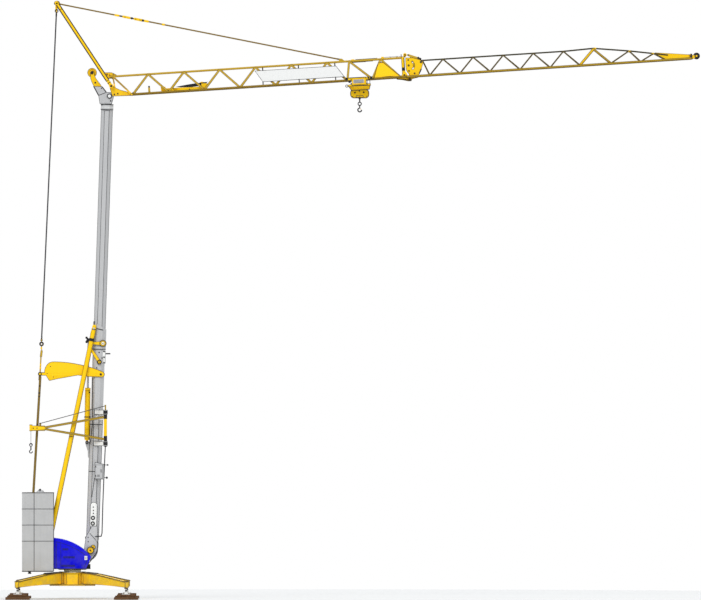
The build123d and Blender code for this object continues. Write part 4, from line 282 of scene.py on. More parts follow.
RED_PRIMER = (0.13, 0.07, 0.04)
DARK_PRIMER = (0.09, 0.075, 0.06)
STREAK_GREY = (0.55, 0.55, 0.55)
GROUND_DUST = (0.24, 0.2, 0.15)


def paint(name, colour, roughness, coat, wear, primer=DARK_PRIMER, fade=0.05, upper=None):
    """Enamel on steel; wear gives the amounts of rain streaks, faded patches and small chips."""
    finish, tree, shader = new_finish(name, roughness, 0, coat)
    worn = use_effect(tree, weathering, **dict(zip(("Streaks", "Patches", "Chips"), wear)))
    dirt = use_effect(tree, ground_dirt, Height=2.6, Amount=0.55)
    faded = tuple(min(1, c * 0.86 + fade) for c in colour)
    tone = blend_colour(tree, worn["Patches"], colour, faded)
    if upper:
        tone = two_tone(tree, tone, *upper)
    tone = blend_colour(tree, worn["Streaks"], tone, STREAK_GREY, "MULTIPLY")
    tone = blend_colour(tree, dirt["Dirt"], tone, GROUND_DUST)
    tone = blend_colour(tree, worn["Chips"], tone, primer)
    tree.links.new(tone, shader.inputs["Base Color"])
    rougher(tree, shader, worn["Patches"], roughness, 0.3)
    bump(tree, shader, use_effect(tree, fine_grain, Scale=140)["Height"], 0.12, 0.002)
    shader.inputs["Specular IOR Level"].default_value = 0.12
    return finish


def cast_concrete(name):
    """Ballast concrete: pores, cloudy tone and dark runs."""
    finish, tree, shader = new_finish(name, 0.88)
    grain = use_effect(tree, fine_grain, Scale=38)
    worn = use_effect(tree, weathering, Streaks=0.3, Patches=0.4, Chips=0.6)
    tone = blend_colour(tree, grain["Tone"], (0.43, 0.43, 0.425), (0.53, 0.53, 0.525))
    tone = blend_colour(tree, worn["Patches"], tone, (0.47, 0.47, 0.46))
    tone = blend_colour(tree, worn["Streaks"], tone, (0.37, 0.365, 0.35))
    tone = blend_colour(tree, worn["Chips"], tone, (0.2, 0.195, 0.185))
    tree.links.new(tone, shader.inputs["Base Color"])
    bump(tree, shader, grain["Height"], 0.5, 0.006)
    return finish


def sawn_timber(name, stretch):
    """Old sleepers: long grain along the axis that stretch leaves short, and dark knots."""
    finish, tree, shader = new_finish(name, 0.85)
    fibre = stretched_noise(tree, 3, 8, stretch, 0.7)
    knots = stretched_noise(tree, 2.5, 4, (1.4, 1.4, 3))
    light = threshold(tree, fibre, 0.3, 0.7)
    tone = blend_colour(tree, light, (0.045, 0.018, 0.005), (0.18, 0.08, 0.022))
    tone = blend_colour(tree, threshold(tree, knots, 0.58, 0.8), tone, (0.05, 0.022, 0.01))
    tree.links.new(tone, shader.inputs["Base Color"])
    bump(tree, shader, fibre, 0.6, 0.008)
    return finish


def bare_metal(name, colour, roughness, dark, metallic=1.0):
    """Uncoated metal with fine scratches and dull patches."""
    finish, tree, shader = new_finish(name, roughness, metallic)
    scratches = stretched_noise(tree, 40, 5)
    worn = use_effect(tree, weathering, Streaks=0.2, Patches=0.5, Chips=0.3)
    dull = tuple(c * dark for c in colour)
    tone = blend_colour(tree, threshold(tree, scratches, 0.3, 0.75), colour, dull)
    tone = blend_colour(tree, worn["Patches"], tone, dull)
    tree.links.new(tone, shader.inputs["Base Color"])
    rougher(tree, shader, scratches, roughness, 0.25)
    bump(tree, shader, scratches, 0.15, 0.001)
    return finish


def laid_rope(name, axis_stretch):
    """Greased wire rope: slanting strands from a wave along the rope."""
    finish, tree, shader = new_finish(name, 0.45, 0.7)
    layout = {"Vector": object_place(tree), "Scale": axis_stretch}
    mapping = add_node(tree, "ShaderNodeMapping", layout)
    values = {"Vector": mapping.outputs["Vector"], "Scale": 9, "Distortion": 0.4, "Detail": 2}
    wave = {"wave_type": "BANDS", "bands_direction": "DIAGONAL"}
    strands = add_node(tree, "ShaderNodeTexWave", values, **wave).outputs["Fac"]
    tone = blend_colour(tree, strands, (0.02, 0.02, 0.02), (0.14, 0.135, 0.13))
    tree.links.new(tone, shader.inputs["Base Color"])
    bump(tree, shader, strands, 0.6, 0.002)
    return finish


finishes = {
    "yellow_paint": paint("crane_yellow", (1.0, 0.62, 0.006), 0.5, 0.05, (0.14, 0.1, 0.35)),
    "grey_paint": paint("mast_grey", (0.53, 0.53, 0.53), 0.5, 0.05, (0.22, 0.2, 0.4)),
    "blue_cover": paint("hood_blue", (0.0, 0.0, 0.66), 0.55, 0, (0.12, 0.2, 0.2), fade=0.0),
    "dark_steel": paint("black_steel", (0.022, 0.022, 0.024), 0.5, 0, (0.2, 0.3, 0.5), RED_PRIMER),
    "white_panel": paint("panel_white", (0.8, 0.8, 0.78), 0.4, 0.1, (0.15, 0.15, 0.15)),
    "concrete": cast_concrete("ballast_concrete"),
    "timber": sawn_timber("sleepers_along_x", (1, 12, 12)),
    "bright_steel": bare_metal("chromed_rod", (0.72, 0.72, 0.74), 0.15, 0.8),
    "bare_steel": bare_metal("machined_steel", (0.85, 0.79, 0.58), 0.5, 0.85, 0.25),
    "wire_rope": laid_rope("greased_rope", (30, 30, 8)),
}
timber_across = sawn_timber("sleepers_along_y", (12, 1, 12))

# Older paint, and two nodes that change tone along a line: the outer lattice over its rails,
# the jib root beyond the gusset's edge

OLD = (0.3, 0.25, 0.4)
lattice_yellow = paint("weathered_yellow", (0.56, 0.36, 0.03), 0.55, 0, (0.3, 0.25, 0.5))
davit_olive = paint("davit_olive", (0.4, 0.26, 0.03), 0.55, 0, OLD)
tie_brown = paint("weathered_olive", (0.24, 0.155, 0.03), 0.6, 0, OLD)
over_rails = ((tuple(jib_up), jib_up.dot(JIB.translation) + 0.05),)
outer_upper = ((0.1, 0.082, 0.035), over_rails)
outer_olive = paint("outer_lattice_olive", (0.44, 0.3, 0.03), 0.55, 0, OLD, upper=outer_upper)
outer_dark = paint("outer_chord_olive", (0.05, 0.045, 0.022), 0.6, 0, OLD)
gusset_square = Vector((10.2, 0, 21)).normalized()
GUSSET_POINT = Vector((1.636, 0, 21.97))
GUSSET_TOP = 22.16
past_gusset = ((tuple(gusset_square), gusset_square.dot(GUSSET_POINT)), ((0, 0, -1), -GUSSET_TOP))
root_upper = ((0.4, 0.25, 0.035), past_gusset)
root_wear = (0.35, 0.3, 0.5)
root_yellow = paint("root_yellow", (0.96, 0.58, 0.008), 0.42, 0.12, root_wear, upper=root_upper)
cream_paint = paint("cream_primer", (0.98, 0.93, 0.74), 0.5, 0, (0.15, 0.2, 0.3))
hub_white = paint("pale_marking", (0.85, 0.85, 0.82), 0.45, 0, (0.1, 0.1, 0.15))
# Dark brown and black finishes for beads that paint shade along edges and flanks; the black one is also
# the ropes' own colour.
shade_bead_brown = paint("brown_shade_bead", (0.15, 0.095, 0.02), 0.6, 0, (0.2, 0.2, 0.2))
shade_bead_and_rope_black = paint("black_shade_bead_and_rope", (0.07, 0.07, 0.072), 0.6, 0, (0.2, 0.2, 0.2))
inner_lattice = ("side_left", "side_right", "top_chord", "floor")
outer_lattice = ("side_left", "side_right", "floor")
worn_finishes = {
    **{f"jib_inner_{part}": lattice_yellow for part in inner_lattice},
    **{f"jib_outer_{part}": outer_olive for part in outer_lattice},
    "jib_outer_rails": lattice_yellow,
    "jib_outer_top_chord": outer_dark,
    "jib_root": root_yellow,
    "davit_boom": davit_olive,
    "davit_brackets": hub_white,
    "rear_tie_fork": lattice_yellow,
    "rear_ties": tie_brown,
    "forestay": tie_brown,
}

for entry in frame["record"]["subparts"]:
    carried = frame["nodes"][entry["node"]]
    carried.data.materials.clear()
    carried.data.materials.append(worn_finishes.get(entry["node"], finishes[entry["material_slot"]]))


# Shapes. Each adds to a bmesh; the frame that places it is given when the piece is finished.

def slab(shape, low, high):
    """A rectangular block between two corners."""
    low, high = Vector(low), Vector(high)
    size = high - low
    place = Matrix.Translation((low + high) / 2) @ Matrix.Diagonal((*size, 1))
    bmesh.ops.create_cube(shape, size=1, matrix=place)


def block(shape, centre, reach):
    """A rectangular block that reaches equally far each way from its centre."""
    slab(shape, Vector(centre) - Vector(reach), Vector(centre) + Vector(reach))


def along_line(start, end):
    """The matrix that lays a Z-long shape from start to end, centred."""
    start, end = Vector(start), Vector(end)
    turn = (end - start).to_track_quat("Z", "Y").to_matrix().to_4x4()
    return Matrix.Translation((start + end) / 2) @ turn


def rod(shape, start, end, radius, sides=16, end_radius=None):
    """A round bar, or a cone where the end's radius differs."""
    bmesh.ops.create_cone(
        shape,
        cap_ends=True,
        segments=sides,
        radius1=radius,
        radius2=radius if end_radius is None else end_radius,
        depth=(Vector(end) - Vector(start)).length,
        matrix=along_line(start, end),
    )


def square_bar(shape, start, end, width, depth):
    """A rectangular bar between two points."""
    length = (Vector(end) - Vector(start)).length
    bmesh.ops.create_cube(
        shape,
        size=1,
        matrix=along_line(start, end) @ Matrix.Diagonal((width, depth, length, 1)),
    )


def thicken(shape, faces, way):
    """Flat faces made a solid by drawing them out along way."""
    made = bmesh.ops.extrude_face_region(shape, geom=faces)
    moved = [v for v in made["geom"] if isinstance(v, bmesh.types.BMVert)]
    bmesh.ops.translate(shape, verts=moved, vec=way)


def flat_plate(shape, outline, y_low, y_high):
    """A plate whose outline lies in the frame's XZ plane."""
    face = shape.faces.new([shape.verts.new((x, y_low, z)) for x, z in outline])
    thicken(shape, [face], ACROSS * (y_high - y_low))


def turned(shape, centre, axis, profile, steps=40):
    """A ring turned about an axis through centre; the profile gives radius and height along it."""
    axis = Vector(axis).normalized()
    out = axis.orthogonal().normalized()
    centre = Vector(centre)
    corners = [shape.verts.new(centre + out * radius + axis * height) for radius, height in profile]
    edges = [shape.edges.new((a, b)) for a, b in zip(corners, corners[1:] + corners[:1])]
    bmesh.ops.spin(
        shape,
        geom=corners + edges,
        cent=centre,
        axis=axis,
        angle=math.tau,
        steps=steps,
        use_merge=True,
        use_duplicate=False,
    )


def collar(shape, centre, axis, inner, outer, low, high, steps=28):
    """A plain ring about an axis, between two heights along it."""
    profile = [(inner, low), (outer, low), (outer, high), (inner, high)]
    turned(shape, centre, axis, profile, steps)


def sheave(shape, centre, radius, width, bore, depth=None, steps=40):
    """A grooved rope wheel with a dished web, its axle across the crane."""
    depth = depth or radius * 0.16
    half = width / 2
    web = half * 0.35
    near_side = [
        (bore, -half),
        (bore + radius * 0.14, -half),
        (bore + radius * 0.18, -web),
        (radius - depth * 1.8, -web),
        (radius - depth * 1.6, -half),
        (radius, -half),
        (radius, -half * 0.75),
        (radius - depth, -half * 0.2),
    ]
    profile = near_side + [(reach, -level) for reach, level in reversed(near_side)]
    turned(shape, centre, ACROSS, profile, steps)


def bolt(shape, base, direction, size):
    """A hexagon head on a washer, standing on base and pointing along direction."""
    base, direction = Vector(base), Vector(direction).normalized()
    rod(shape, base, base + direction * size * 0.18, size * 0.95, 12)
    rod(shape, base + direction * size * 0.18, base + direction * size * 0.75, size * 0.8, 6)


def pin_head(shape, base, direction, radius, length):
    """A pin's end with its chamfer and keeper plate."""
    base, direction = Vector(base), Vector(direction).normalized()
    rod(shape, base, base + direction * length * 0.75, radius, 20)
    rod(shape, base + direction * length * 0.75, base + direction * length, radius, 20, radius * 0.8)


RING_GUIDE = Vector((0.13, 0.97, 0.2))


def bent_bar(shape, points, radius, sides=10):
    """A round bar or pipe through points, mitred at each bend."""
    points = [Vector(p) for p in points]
    rings = []
    for i, point in enumerate(points):
        before = (point - points[i - 1]).normalized() if i else (points[1] - point).normalized()
        after = (points[i + 1] - point).normalized() if i < len(points) - 1 else before
        heading = (before + after).normalized()
        stretch = 1 / max(0.5, heading.dot(after))
        side = heading.cross(RING_GUIDE).normalized()
        other = heading.cross(side).normalized()
        turn = Matrix((side, other, heading)).transposed().to_4x4()
        ring = bmesh.ops.create_circle(
            shape,
            cap_ends=i in (0, len(points) - 1),
            segments=sides,
            radius=radius * stretch,
            matrix=Matrix.Translation(point) @ turn,
        )
        rings.append(ring["verts"])
    for low, high in zip(rings, rings[1:]):
        low_edges = {e for v in low for e in v.link_edges if e.other_vert(v) in low}
        high_edges = {e for v in high for e in v.link_edges if e.other_vert(v) in high}
        bmesh.ops.bridge_loops(shape, edges=list(low_edges | high_edges))


CREASE = 35


def soften(shape, width, angle=CREASE):
    """Bevel every edge that turns by more than angle."""
    limit = math.radians(angle)
    sharp = [e for e in shape.edges if len(e.link_faces) == 2 and e.calc_face_angle(0) > limit]
    bmesh.ops.bevel(
        shape,
        geom=sharp,
        offset=width,
        offset_type="OFFSET",
        affect="EDGES",
        segments=2,
        profile=0.5,
        material=-1,
        clamp_overlap=True,
    )


pieces = []


def finish_piece(name, shape, body, slot, place=WORLD, bevel=0.0, material=None, replaced=()):
    """Turn a bmesh into a piece that rides on its body."""
    if bevel:
        soften(shape, bevel)
    bmesh.ops.transform(shape, matrix=place, verts=shape.verts)
    bmesh.ops.remove_doubles(shape, verts=shape.verts, dist=1e-6)
    bmesh.ops.recalc_face_normals(shape, faces=shape.faces)
    for face in shape.faces:
        face.smooth = True
    for edge in shape.edges:
        edge.smooth = len(edge.link_faces) == 2 and edge.calc_face_angle(0) < math.radians(CREASE)
    mesh = bpy.data.meshes.new(name)
    shape.to_mesh(mesh)
    shape.free()
    piece = bpy.data.objects.new(name, mesh)
    bpy.context.scene.collection.objects.link(piece)
    mesh.materials.append(material or finishes[slot])
    if body:
        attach(piece, body)
    if replaced:
        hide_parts(*replaced)
    return piece


def new_piece(name, body, slot, place=WORLD, bevel=0.0, material=None, replaced=()):
    """An empty shape that is finished as a piece at the end."""
    shape = bmesh.new()
    pieces.append((name, shape, body, slot, place, bevel, material, replaced))
    return shape


def welded_copy(node):
    """A CAD node's triangles merged into whole faces, in a new shape."""
    shape = bmesh.new()
    shape.from_mesh(frame["nodes"][node].data)
    bmesh.ops.remove_doubles(shape, verts=shape.verts, dist=1e-5)
    bmesh.ops.dissolve_limit(shape, angle_limit=math.radians(1), verts=shape.verts, edges=shape.edges)
    return shape


def softened_copy(node, body, slot, width, angle):
    """A CAD node's own shape with its edges rounded, in place of the node."""
    shape = welded_copy(node)
    soften(shape, width, angle)
    finish_piece(f"{node}_dressed", shape, body, slot, replaced=(node,))


# Floor

ground = bmesh.new()
bmesh.ops.create_circle(ground, cap_ends=True, segments=96, radius=34)
bmesh.ops.translate(ground, verts=ground.verts, vec=(9, 0, -0.002))
floor_finish, floor_tree, floor_shader = new_finish("pale_floor", 0.9)
floor_shader.inputs["Specular IOR Level"].default_value = 0.1
floor_tone = use_effect(floor_tree, fine_grain, Scale=6)
floor_tree.links.new(
    blend_colour(floor_tree, floor_tone["Tone"], (0.8, 0.8, 0.79), (0.86, 0.86, 0.85)),
    floor_shader.inputs["Base Color"],
)
floor = finish_piece("studio_floor", ground, None, None, material=floor_finish)


# Timber stacks: sleepers side by side, the upper layer laid across the lower one

FOOT_REACH = 2.3
STACK_HALF, UPPER_HALF = 0.515, 0.395
LAYER_JOINT, STACK_TOP = 0.108, 0.22
SLEEPER_PITCH, UPPER_PITCH = 0.206, 0.1975
stack = ("timber_stacks",)
sleepers_low = new_piece("sleepers_lower", "chassis", "timber", bevel=0.008, replaced=stack)
sleepers_high = new_piece("sleepers_upper", "chassis", "timber", bevel=0.008, material=timber_across)
for sx, sy in CORNERS:
    foot_x, foot_y = sx * FOOT_REACH, sy * FOOT_REACH
    for i in range(5):
        y = foot_y - STACK_HALF + i * SLEEPER_PITCH
        half = STACK_HALF - 0.006 * ((i * 7 + sx + 2 * sy) % 4)
        slab(sleepers_low, (foot_x - half, y + 0.003, 0), (foot_x + half, y + 0.203, LAYER_JOINT))
    for i in range(4):
        x = foot_x - UPPER_HALF + i * UPPER_PITCH
        half = UPPER_HALF - 0.005 * ((i * 5 + sx - sy) % 4)
        low, high = (x + 0.003, foot_y - half, LAYER_JOINT), (x + 0.194, foot_y + half, STACK_TOP)
        slab(sleepers_high, low, high)


# Places read off the side elevation, 42.5 mm to its column or row

COLUMN_ZERO = 72.5
ROW_ZERO = 599
SCALE = 0.0425
jib_inverse = JIB.inverted()
mast_inverse = MAST.inverted()


def seen(column, row, y=0.0):
    """A point of the side elevation, in the crane's frame."""
    return Vector(((column - COLUMN_ZERO) * SCALE, y, (ROW_ZERO - row) * SCALE))


def seen_on_mast(column, row, y=0.0):
    """The same in the mast's frame."""
    return mast_inverse @ seen(column, row, y)


def seen_on_jib(column, row, y=0.0):
    """The same in the jib's frame."""
    return jib_inverse @ seen(column, row, y)


def outline_seen(points, reader=seen):
    """Columns and rows as a plate's outline in the reader's frame."""
    corners = [reader(column, row) for column, row in points]
    return [(corner.x, corner.z) for corner in corners]


# Fittings on the faces that look across the crane. Their side is -1 or 1, and near and far
# are the depths that they lie between.

def across(side, near, far):
    """The low and high Y of a layer between two depths on one side."""
    return sorted((side * near, side * far))


def capsule(shape, centre, radius, reach, side, near, far, steps=24):
    """A plate with round ends, upright in the frame's XZ plane."""
    y_low, y_high = across(side, near, far)
    made = bmesh.ops.create_circle(shape, cap_ends=True, segments=steps, radius=radius)["verts"]
    bmesh.ops.transform(shape, matrix=Matrix.Rotation(math.radians(90), 4, "X"), verts=made)
    for v in made:
        v.co.z += reach if v.co.z > 0 else -reach
    bmesh.ops.translate(shape, verts=made, vec=(centre[0], y_low, centre[2]))
    thicken(shape, list(made[0].link_faces), ACROSS * (y_high - y_low))


def disc(shape, spot, radius, side, near, far, steps=28):
    """A round boss or pin; its X and Z are the first and last values of spot."""
    y_low, y_high = across(side, near, far)
    rod(shape, (spot[0], y_low, spot[-1]), (spot[0], y_high, spot[-1]), radius, steps)


def discs_seen(shape, spots, side, near, far, steps=28, reader=seen):
    """Bosses at columns and rows, each with its radius."""
    for column, row, radius in spots:
        disc(shape, reader(column, row), radius, side, near, far, steps)


def washer(shape, spot, inner, outer, side, near, far, steps=36):
    """A flat ring, placed in the same way."""
    collar(shape, (spot[0], 0, spot[-1]), ACROSS, inner, outer, *across(side, near, far), steps)


def bolts_seen(shape, spots, side, depth, size, reader=seen):
    """Bolt heads at columns and rows, on a face at that depth."""
    for column, row in spots:
        bolt(shape, reader(column, row, side * depth), (0, side, 0), size)


# Levelling jacks: foot plate with its dish, threaded screw, cone, lock nut and two rings

PLATE_TOP = 0.245
THREAD_STEPS, THREAD_PITCH, THREAD_START = 11, 0.016, 0.292
SCREW_RADIUS, THREAD_ROOT = 0.04, 0.034
SCREW_TOP = 0.73
pale = {"bevel": 0.002, "material": hub_white}
jacks = new_piece("jack_screws", "chassis", "dark_steel", **pale, replaced=("levelling_jacks",))
jack_cones = new_piece("jack_cones", "chassis", "dark_steel", **pale)
locks = new_piece("jack_lock_nuts", "chassis", "dark_steel", bevel=0.003)
dish = [(0.002, PLATE_TOP), (0.09, PLATE_TOP), (0.08, 0.262), (0.058, 0.27), (0.052, 0.285)]
thread = []
for i in range(THREAD_STEPS):
    level = THREAD_START + i * THREAD_PITCH
    thread += [(THREAD_ROOT, level), (SCREW_RADIUS, level + THREAD_PITCH / 2)]
screw = dish + thread + [(THREAD_ROOT, SCREW_TOP), (0.002, SCREW_TOP)]
cone = [(0.042, 0.258), (0.08, 0.262), (0.046, 0.34), (0.042, 0.34)]
ring = [(0.067, 0.47), (0.079, 0.474), (0.079, 0.502), (0.067, 0.506)]
for sx, sy in CORNERS:
    foot = Vector((sx * FOOT_REACH, sy * FOOT_REACH, 0))
    block(jacks, foot + UP * 0.2325, (0.18, 0.18, 0.0125))
    turned(jacks, foot, UP, screw, 28)
    for turn in (45, 135, 225, 315):
        angle = math.radians(turn)
        reach = Vector((math.cos(angle), math.sin(angle), 0)) * 0.19
        bolt(jacks, foot + reach + UP * PLATE_TOP, UP, 0.02)
    turned(jack_cones, foot, UP, cone, 28)
    rod(locks, foot + UP * 0.35, foot + UP * 0.41, 0.056, 6)
    for rise in (0, 0.27):
        turned(locks, foot + UP * rise, UP, ring, 32)


# Arms: rounded edges, treads over their roots, swing pins with keepers and stiffening strips

PIN_REACH, PIN_TOP, KEEPER_LEVEL = 0.655, 1.13, 1.135
FLANK = 0.107
REAR_TREAD_END, FRONT_TREAD_END = 1.62, 1.42
softened_copy("outriggers", "chassis", "yellow_paint", 0.006, 40)
treads = new_piece("arm_treads", "chassis", "dark_steel", bevel=0.003)
arm_pins = new_piece("arm_swing_pins", "chassis", "dark_steel", bevel=0.002)
arm_strips = new_piece("arm_stiffeners", "chassis", "yellow_paint")
strip_run = [(0.9, 0.7), (1.5, 0.655), (2.1, 0.61), (2.7, 0.575), (3.1, 0.553)]
for sx, sy in CORNERS:
    out = Vector((sx, sy, 0)).normalized()
    aside = Vector((-out.y, out.x, 0))
    tread_end = REAR_TREAD_END if sx < 0 else FRONT_TREAD_END
    square_bar(treads, out * 0.84 + UP * 1.137, out * tread_end + UP * 1.088, 0.25, 0.018)
    pin_head(arm_pins, out * PIN_REACH + UP * PIN_TOP, UP, 0.052, 0.032)
    keeper = out * PIN_REACH + UP * KEEPER_LEVEL
    square_bar(arm_pins, keeper - aside * 0.085, keeper + aside * 0.085, 0.03, 0.01)
    for reach in (-0.068, 0.068):
        bolt(arm_pins, keeper + aside * reach + UP * 0.005, UP, 0.014)
    for flank in SIDES:
        edge = aside * flank * FLANK
        bent_bar(arm_strips, [out * u + edge + UP * z for u, z in strip_run], 0.011, 8)
        for u, low, high in ((1.15, 0.7, 1.06), (2.35, 0.62, 0.965)):
            rib = out * u + edge
            square_bar(arm_strips, rib + UP * low, rib + UP * high, 0.016, 0.014)


# Hub: stiffening ribs on its flats; bolts, guards and seal of the slewing ring

HUB_FLAT, INSIDE = -0.57, -0.56
RIB_LOW, RIB_HIGH = 0.63, 1.12
hub_ribs = new_piece("hub_ribs", "chassis", "yellow_paint", bevel=0.002)
for quarter in range(4):
    before = len(hub_ribs.verts)
    for x, depth in ((-0.22, 0.028), (0.22, 0.028), (-0.19, 0.012), (0.19, 0.012)):
        slab(hub_ribs, (x - 0.008, HUB_FLAT - depth, RIB_LOW), (x + 0.008, INSIDE, RIB_HIGH))
    for x in (-0.345, 0.345):
        slab(hub_ribs, (x - 0.01, -0.482, RIB_LOW), (x + 0.01, -0.44, RIB_HIGH))
    slab(hub_ribs, (-0.24, -0.585, 1.075), (0.24, INSIDE, 1.09))
    slab(hub_ribs, (-0.95, -0.2, 0.62), (0.95, 0.2, 0.632))
    turn = Matrix.Rotation(quarter * math.pi / 2, 4, "Z")
    bmesh.ops.transform(hub_ribs, matrix=turn, verts=hub_ribs.verts[before:])
softened_copy("base_hub", "chassis", "yellow_paint", 0.006, 40)

RING_BOLTS, BOLT_CIRCLE = 36, 0.545
LOWER_FLANGE, UPPER_FLANGE = 1.162, 1.2463
ring_bolts = new_piece("lower_ring_bolts", "chassis", "dark_steel")
upper_ring_bolts = new_piece("upper_ring_bolts", "platform", "dark_steel")
for i in range(RING_BOLTS):
    angle = i * math.tau / RING_BOLTS
    spot = Vector((math.cos(angle), math.sin(angle), 0)) * BOLT_CIRCLE
    bolt(ring_bolts, spot + UP * LOWER_FLANGE, UP, 0.013)
    bolt(upper_ring_bolts, spot + UP * UPPER_FLANGE, -UP, 0.013)

for name, body, inner, outer, low, high, slot, finish in (
    ("slewing_race_guard", "chassis", 0.355, 0.362, 1.163, 1.2, "bare_steel", cream_paint),
    ("slewing_race_cover", "platform", 0.355, 0.362, 1.209, 1.245, "bare_steel", cream_paint),
    ("ring_seals", "platform", 0.585, 0.6, 1.249, 1.276, "dark_steel", None),
):
    collar(new_piece(name, body, slot, material=finish), (0, 0, 0), UP, inner, outer, low, high, 72)


# Machinery cover: rounded sheet, seam rolls, louvres, latch plates and studs

COVER_FACE = 0.75
softened_copy("machinery_cover", "platform", "blue_cover", 0.01, 25)
seams = new_piece("cover_seams", "platform", "dark_steel")
louvres = new_piece("cover_louvres", "platform", "dark_steel", bevel=0.003)
latches = new_piece("cover_latch_plates", "platform", "white_panel", bevel=0.006, material=hub_white)
studs = new_piece("cover_studs", "platform", "dark_steel", bevel=0.002)
inner_arc = [(56.5, 541.5), (62.5, 543), (69.5, 545.6), (78, 549.7), (84.3, 554), (88, 558.3)]
inner_arc += [(86.5, 562), (84, 567.5)]
seam_lines = (inner_arc, [(56.5, 541.5), (56.5, 567.5)], [(61, 543), (61, 567.5)])
louvre_rows = ((62, 69, 549), (63, 75.5, 557), (61, 75.5, 565.5))
latch = (86.1, 557.8)
for side in SIDES:
    for line in seam_lines:
        bent_bar(seams, [seen(column, row, side * COVER_FACE) for column, row in line], 0.009, 8)
    y_low, y_high = across(side, 0.748, 0.758)
    for start, end, row in louvre_rows:
        for i in range(4):
            level = row + 0.55 * i - 0.8
            low, high = seen(start + 0.5, level + 0.2, y_low), seen(end - 0.5, level - 0.06, y_high)
            slab(louvres, low, high)
    block(latches, seen(*latch, side * (COVER_FACE + 0.0045)), (0.06, 0.0045, 0.085))
    rod(studs, seen(*latch, side * 0.759), seen(*latch, side * 0.771), 0.022, 16)
    for spot in ((57, 545), (57, 564), (82, 565.5), (82.5, 552)):
        rod(studs, seen(*spot, side * 0.748), seen(*spot, side * 0.758), 0.014, 12)


# Ballast: dark strips of painted shade in the joints and grooves, lifting ribs and rings, rest pads

BALLAST_FRONT, BALLAST_BACK = -0.803, -2.133
BALLAST_MIDDLE = (BALLAST_FRONT + BALLAST_BACK) / 2
RING_X, RING_Y, RING_LEVEL, PLATE_LEVEL = -1.385, 0.725, 4.636, 4.548
GROOVE_X, GROOVE_Y = -1.62, 0.94
TRAY_LEVEL, PAD_LEVEL = 1.166, 1.1
JOINT_SHADE_HALF = 0.014
flank_reach = ((BALLAST_FRONT - BALLAST_BACK) / 2 - 0.012, 0.009, JOINT_SHADE_HALF)
# Dark strips at the joints between the blocks: painted shade in the joints.
joint_shade = new_piece("ballast_joint_shade", "platform", "dark_steel")
for level in (2.469, 3.152, 3.835):
    block(joint_shade, (BALLAST_BACK + 0.013, 0, level), (0.009, 0.93, JOINT_SHADE_HALF))
    for side in SIDES:
        block(joint_shade, (BALLAST_MIDDLE, side * 0.936, level), flank_reach)
        block(joint_shade, (BALLAST_FRONT - 0.013, side * 0.72, level), (0.009, 0.21, JOINT_SHADE_HALF))
# Dark strips down the grooves: painted shade in the recess.
groove_shade = new_piece("ballast_groove_shade", "platform", "dark_steel")
lifting_ribs = new_piece("ballast_lifting_ribs", "platform", "grey_paint", bevel=0.003)
rings = new_piece("ballast_lifting_rings", "platform", "dark_steel", bevel=0.002)
rest_pads = new_piece("tray_rest_pads", "platform", "dark_steel", bevel=0.003)
rib_outline = outline_seen([(36.4, 492.3), (37.8, 490.4), (42.8, 490.4), (44.2, 492.3)])
for side in SIDES:
    for low, high in ((1.2, 2.463), (2.475, 3.146), (3.158, 3.829), (3.841, 4.512)):
        y_low, y_high = side * GROOVE_Y - 0.003, side * GROOVE_Y + 0.003
        slab(groove_shade, (GROOVE_X - 0.012, y_low, low), (GROOVE_X + 0.012, y_high, high))
    collar(rings, (RING_X, side * RING_Y, RING_LEVEL), ACROSS, 0.018, 0.046, -0.022, 0.022)
    for dx in (-0.13, 0.13):
        for dy in (-0.075, 0.075):
            bolt(rings, (RING_X + dx, side * RING_Y + dy, PLATE_LEVEL), UP, 0.02)
    flat_plate(lifting_ribs, rib_outline, *across(side, RING_Y - 0.012, RING_Y + 0.012))
    spot = seen(29.6, 599, side * 0.6)
    rod(rest_pads, spot + UP * TRAY_LEVEL, spot + UP * PAD_LEVEL, 0.06, 24, 0.045)
    rod(rest_pads, spot + UP * PAD_LEVEL, spot + UP * (PAD_LEVEL - 0.025), 0.07, 24)


# Mast: dark beads of painted shade along its eight corners, bands, access plates and fittings

LOWER_HALF, UPPER_HALF_WIDTH, BAND_LAP = 0.26, 0.24, 0.005
OCTAGON = math.tan(math.radians(22.5))
on_tube = {"place": MAST, "bevel": 0.002}


def corner_shade_beads(shape, half, low, high, radius):
    """Dark beads up the corners of an eight-sided tube in the mast's frame; they paint shade along the
    corner lines.
    """
    near = half * OCTAGON
    for a, b in ((half, near), (near, half)):
        for sx, sy in CORNERS:
            rod(shape, (sx * a, sy * b, low), (sx * a, sy * b, high), radius, 8)


def octagon_band(shape, half, low, high, proud):
    """A flat band round an eight-sided tube."""
    turn = Matrix.Translation((0, 0, low)) @ Matrix.Rotation(math.pi / 8, 4, "Z")
    edges = []
    for reach in (half + proud, half - BAND_LAP):
        corner = reach / math.cos(math.pi / 8)
        made = bmesh.ops.create_circle(shape, cap_ends=False, segments=8, radius=corner, matrix=turn)
        edges += list({edge for vert in made["verts"] for edge in vert.link_edges})
    thicken(shape, bmesh.ops.bridge_loops(shape, edges=edges)["faces"], UP * (high - low))


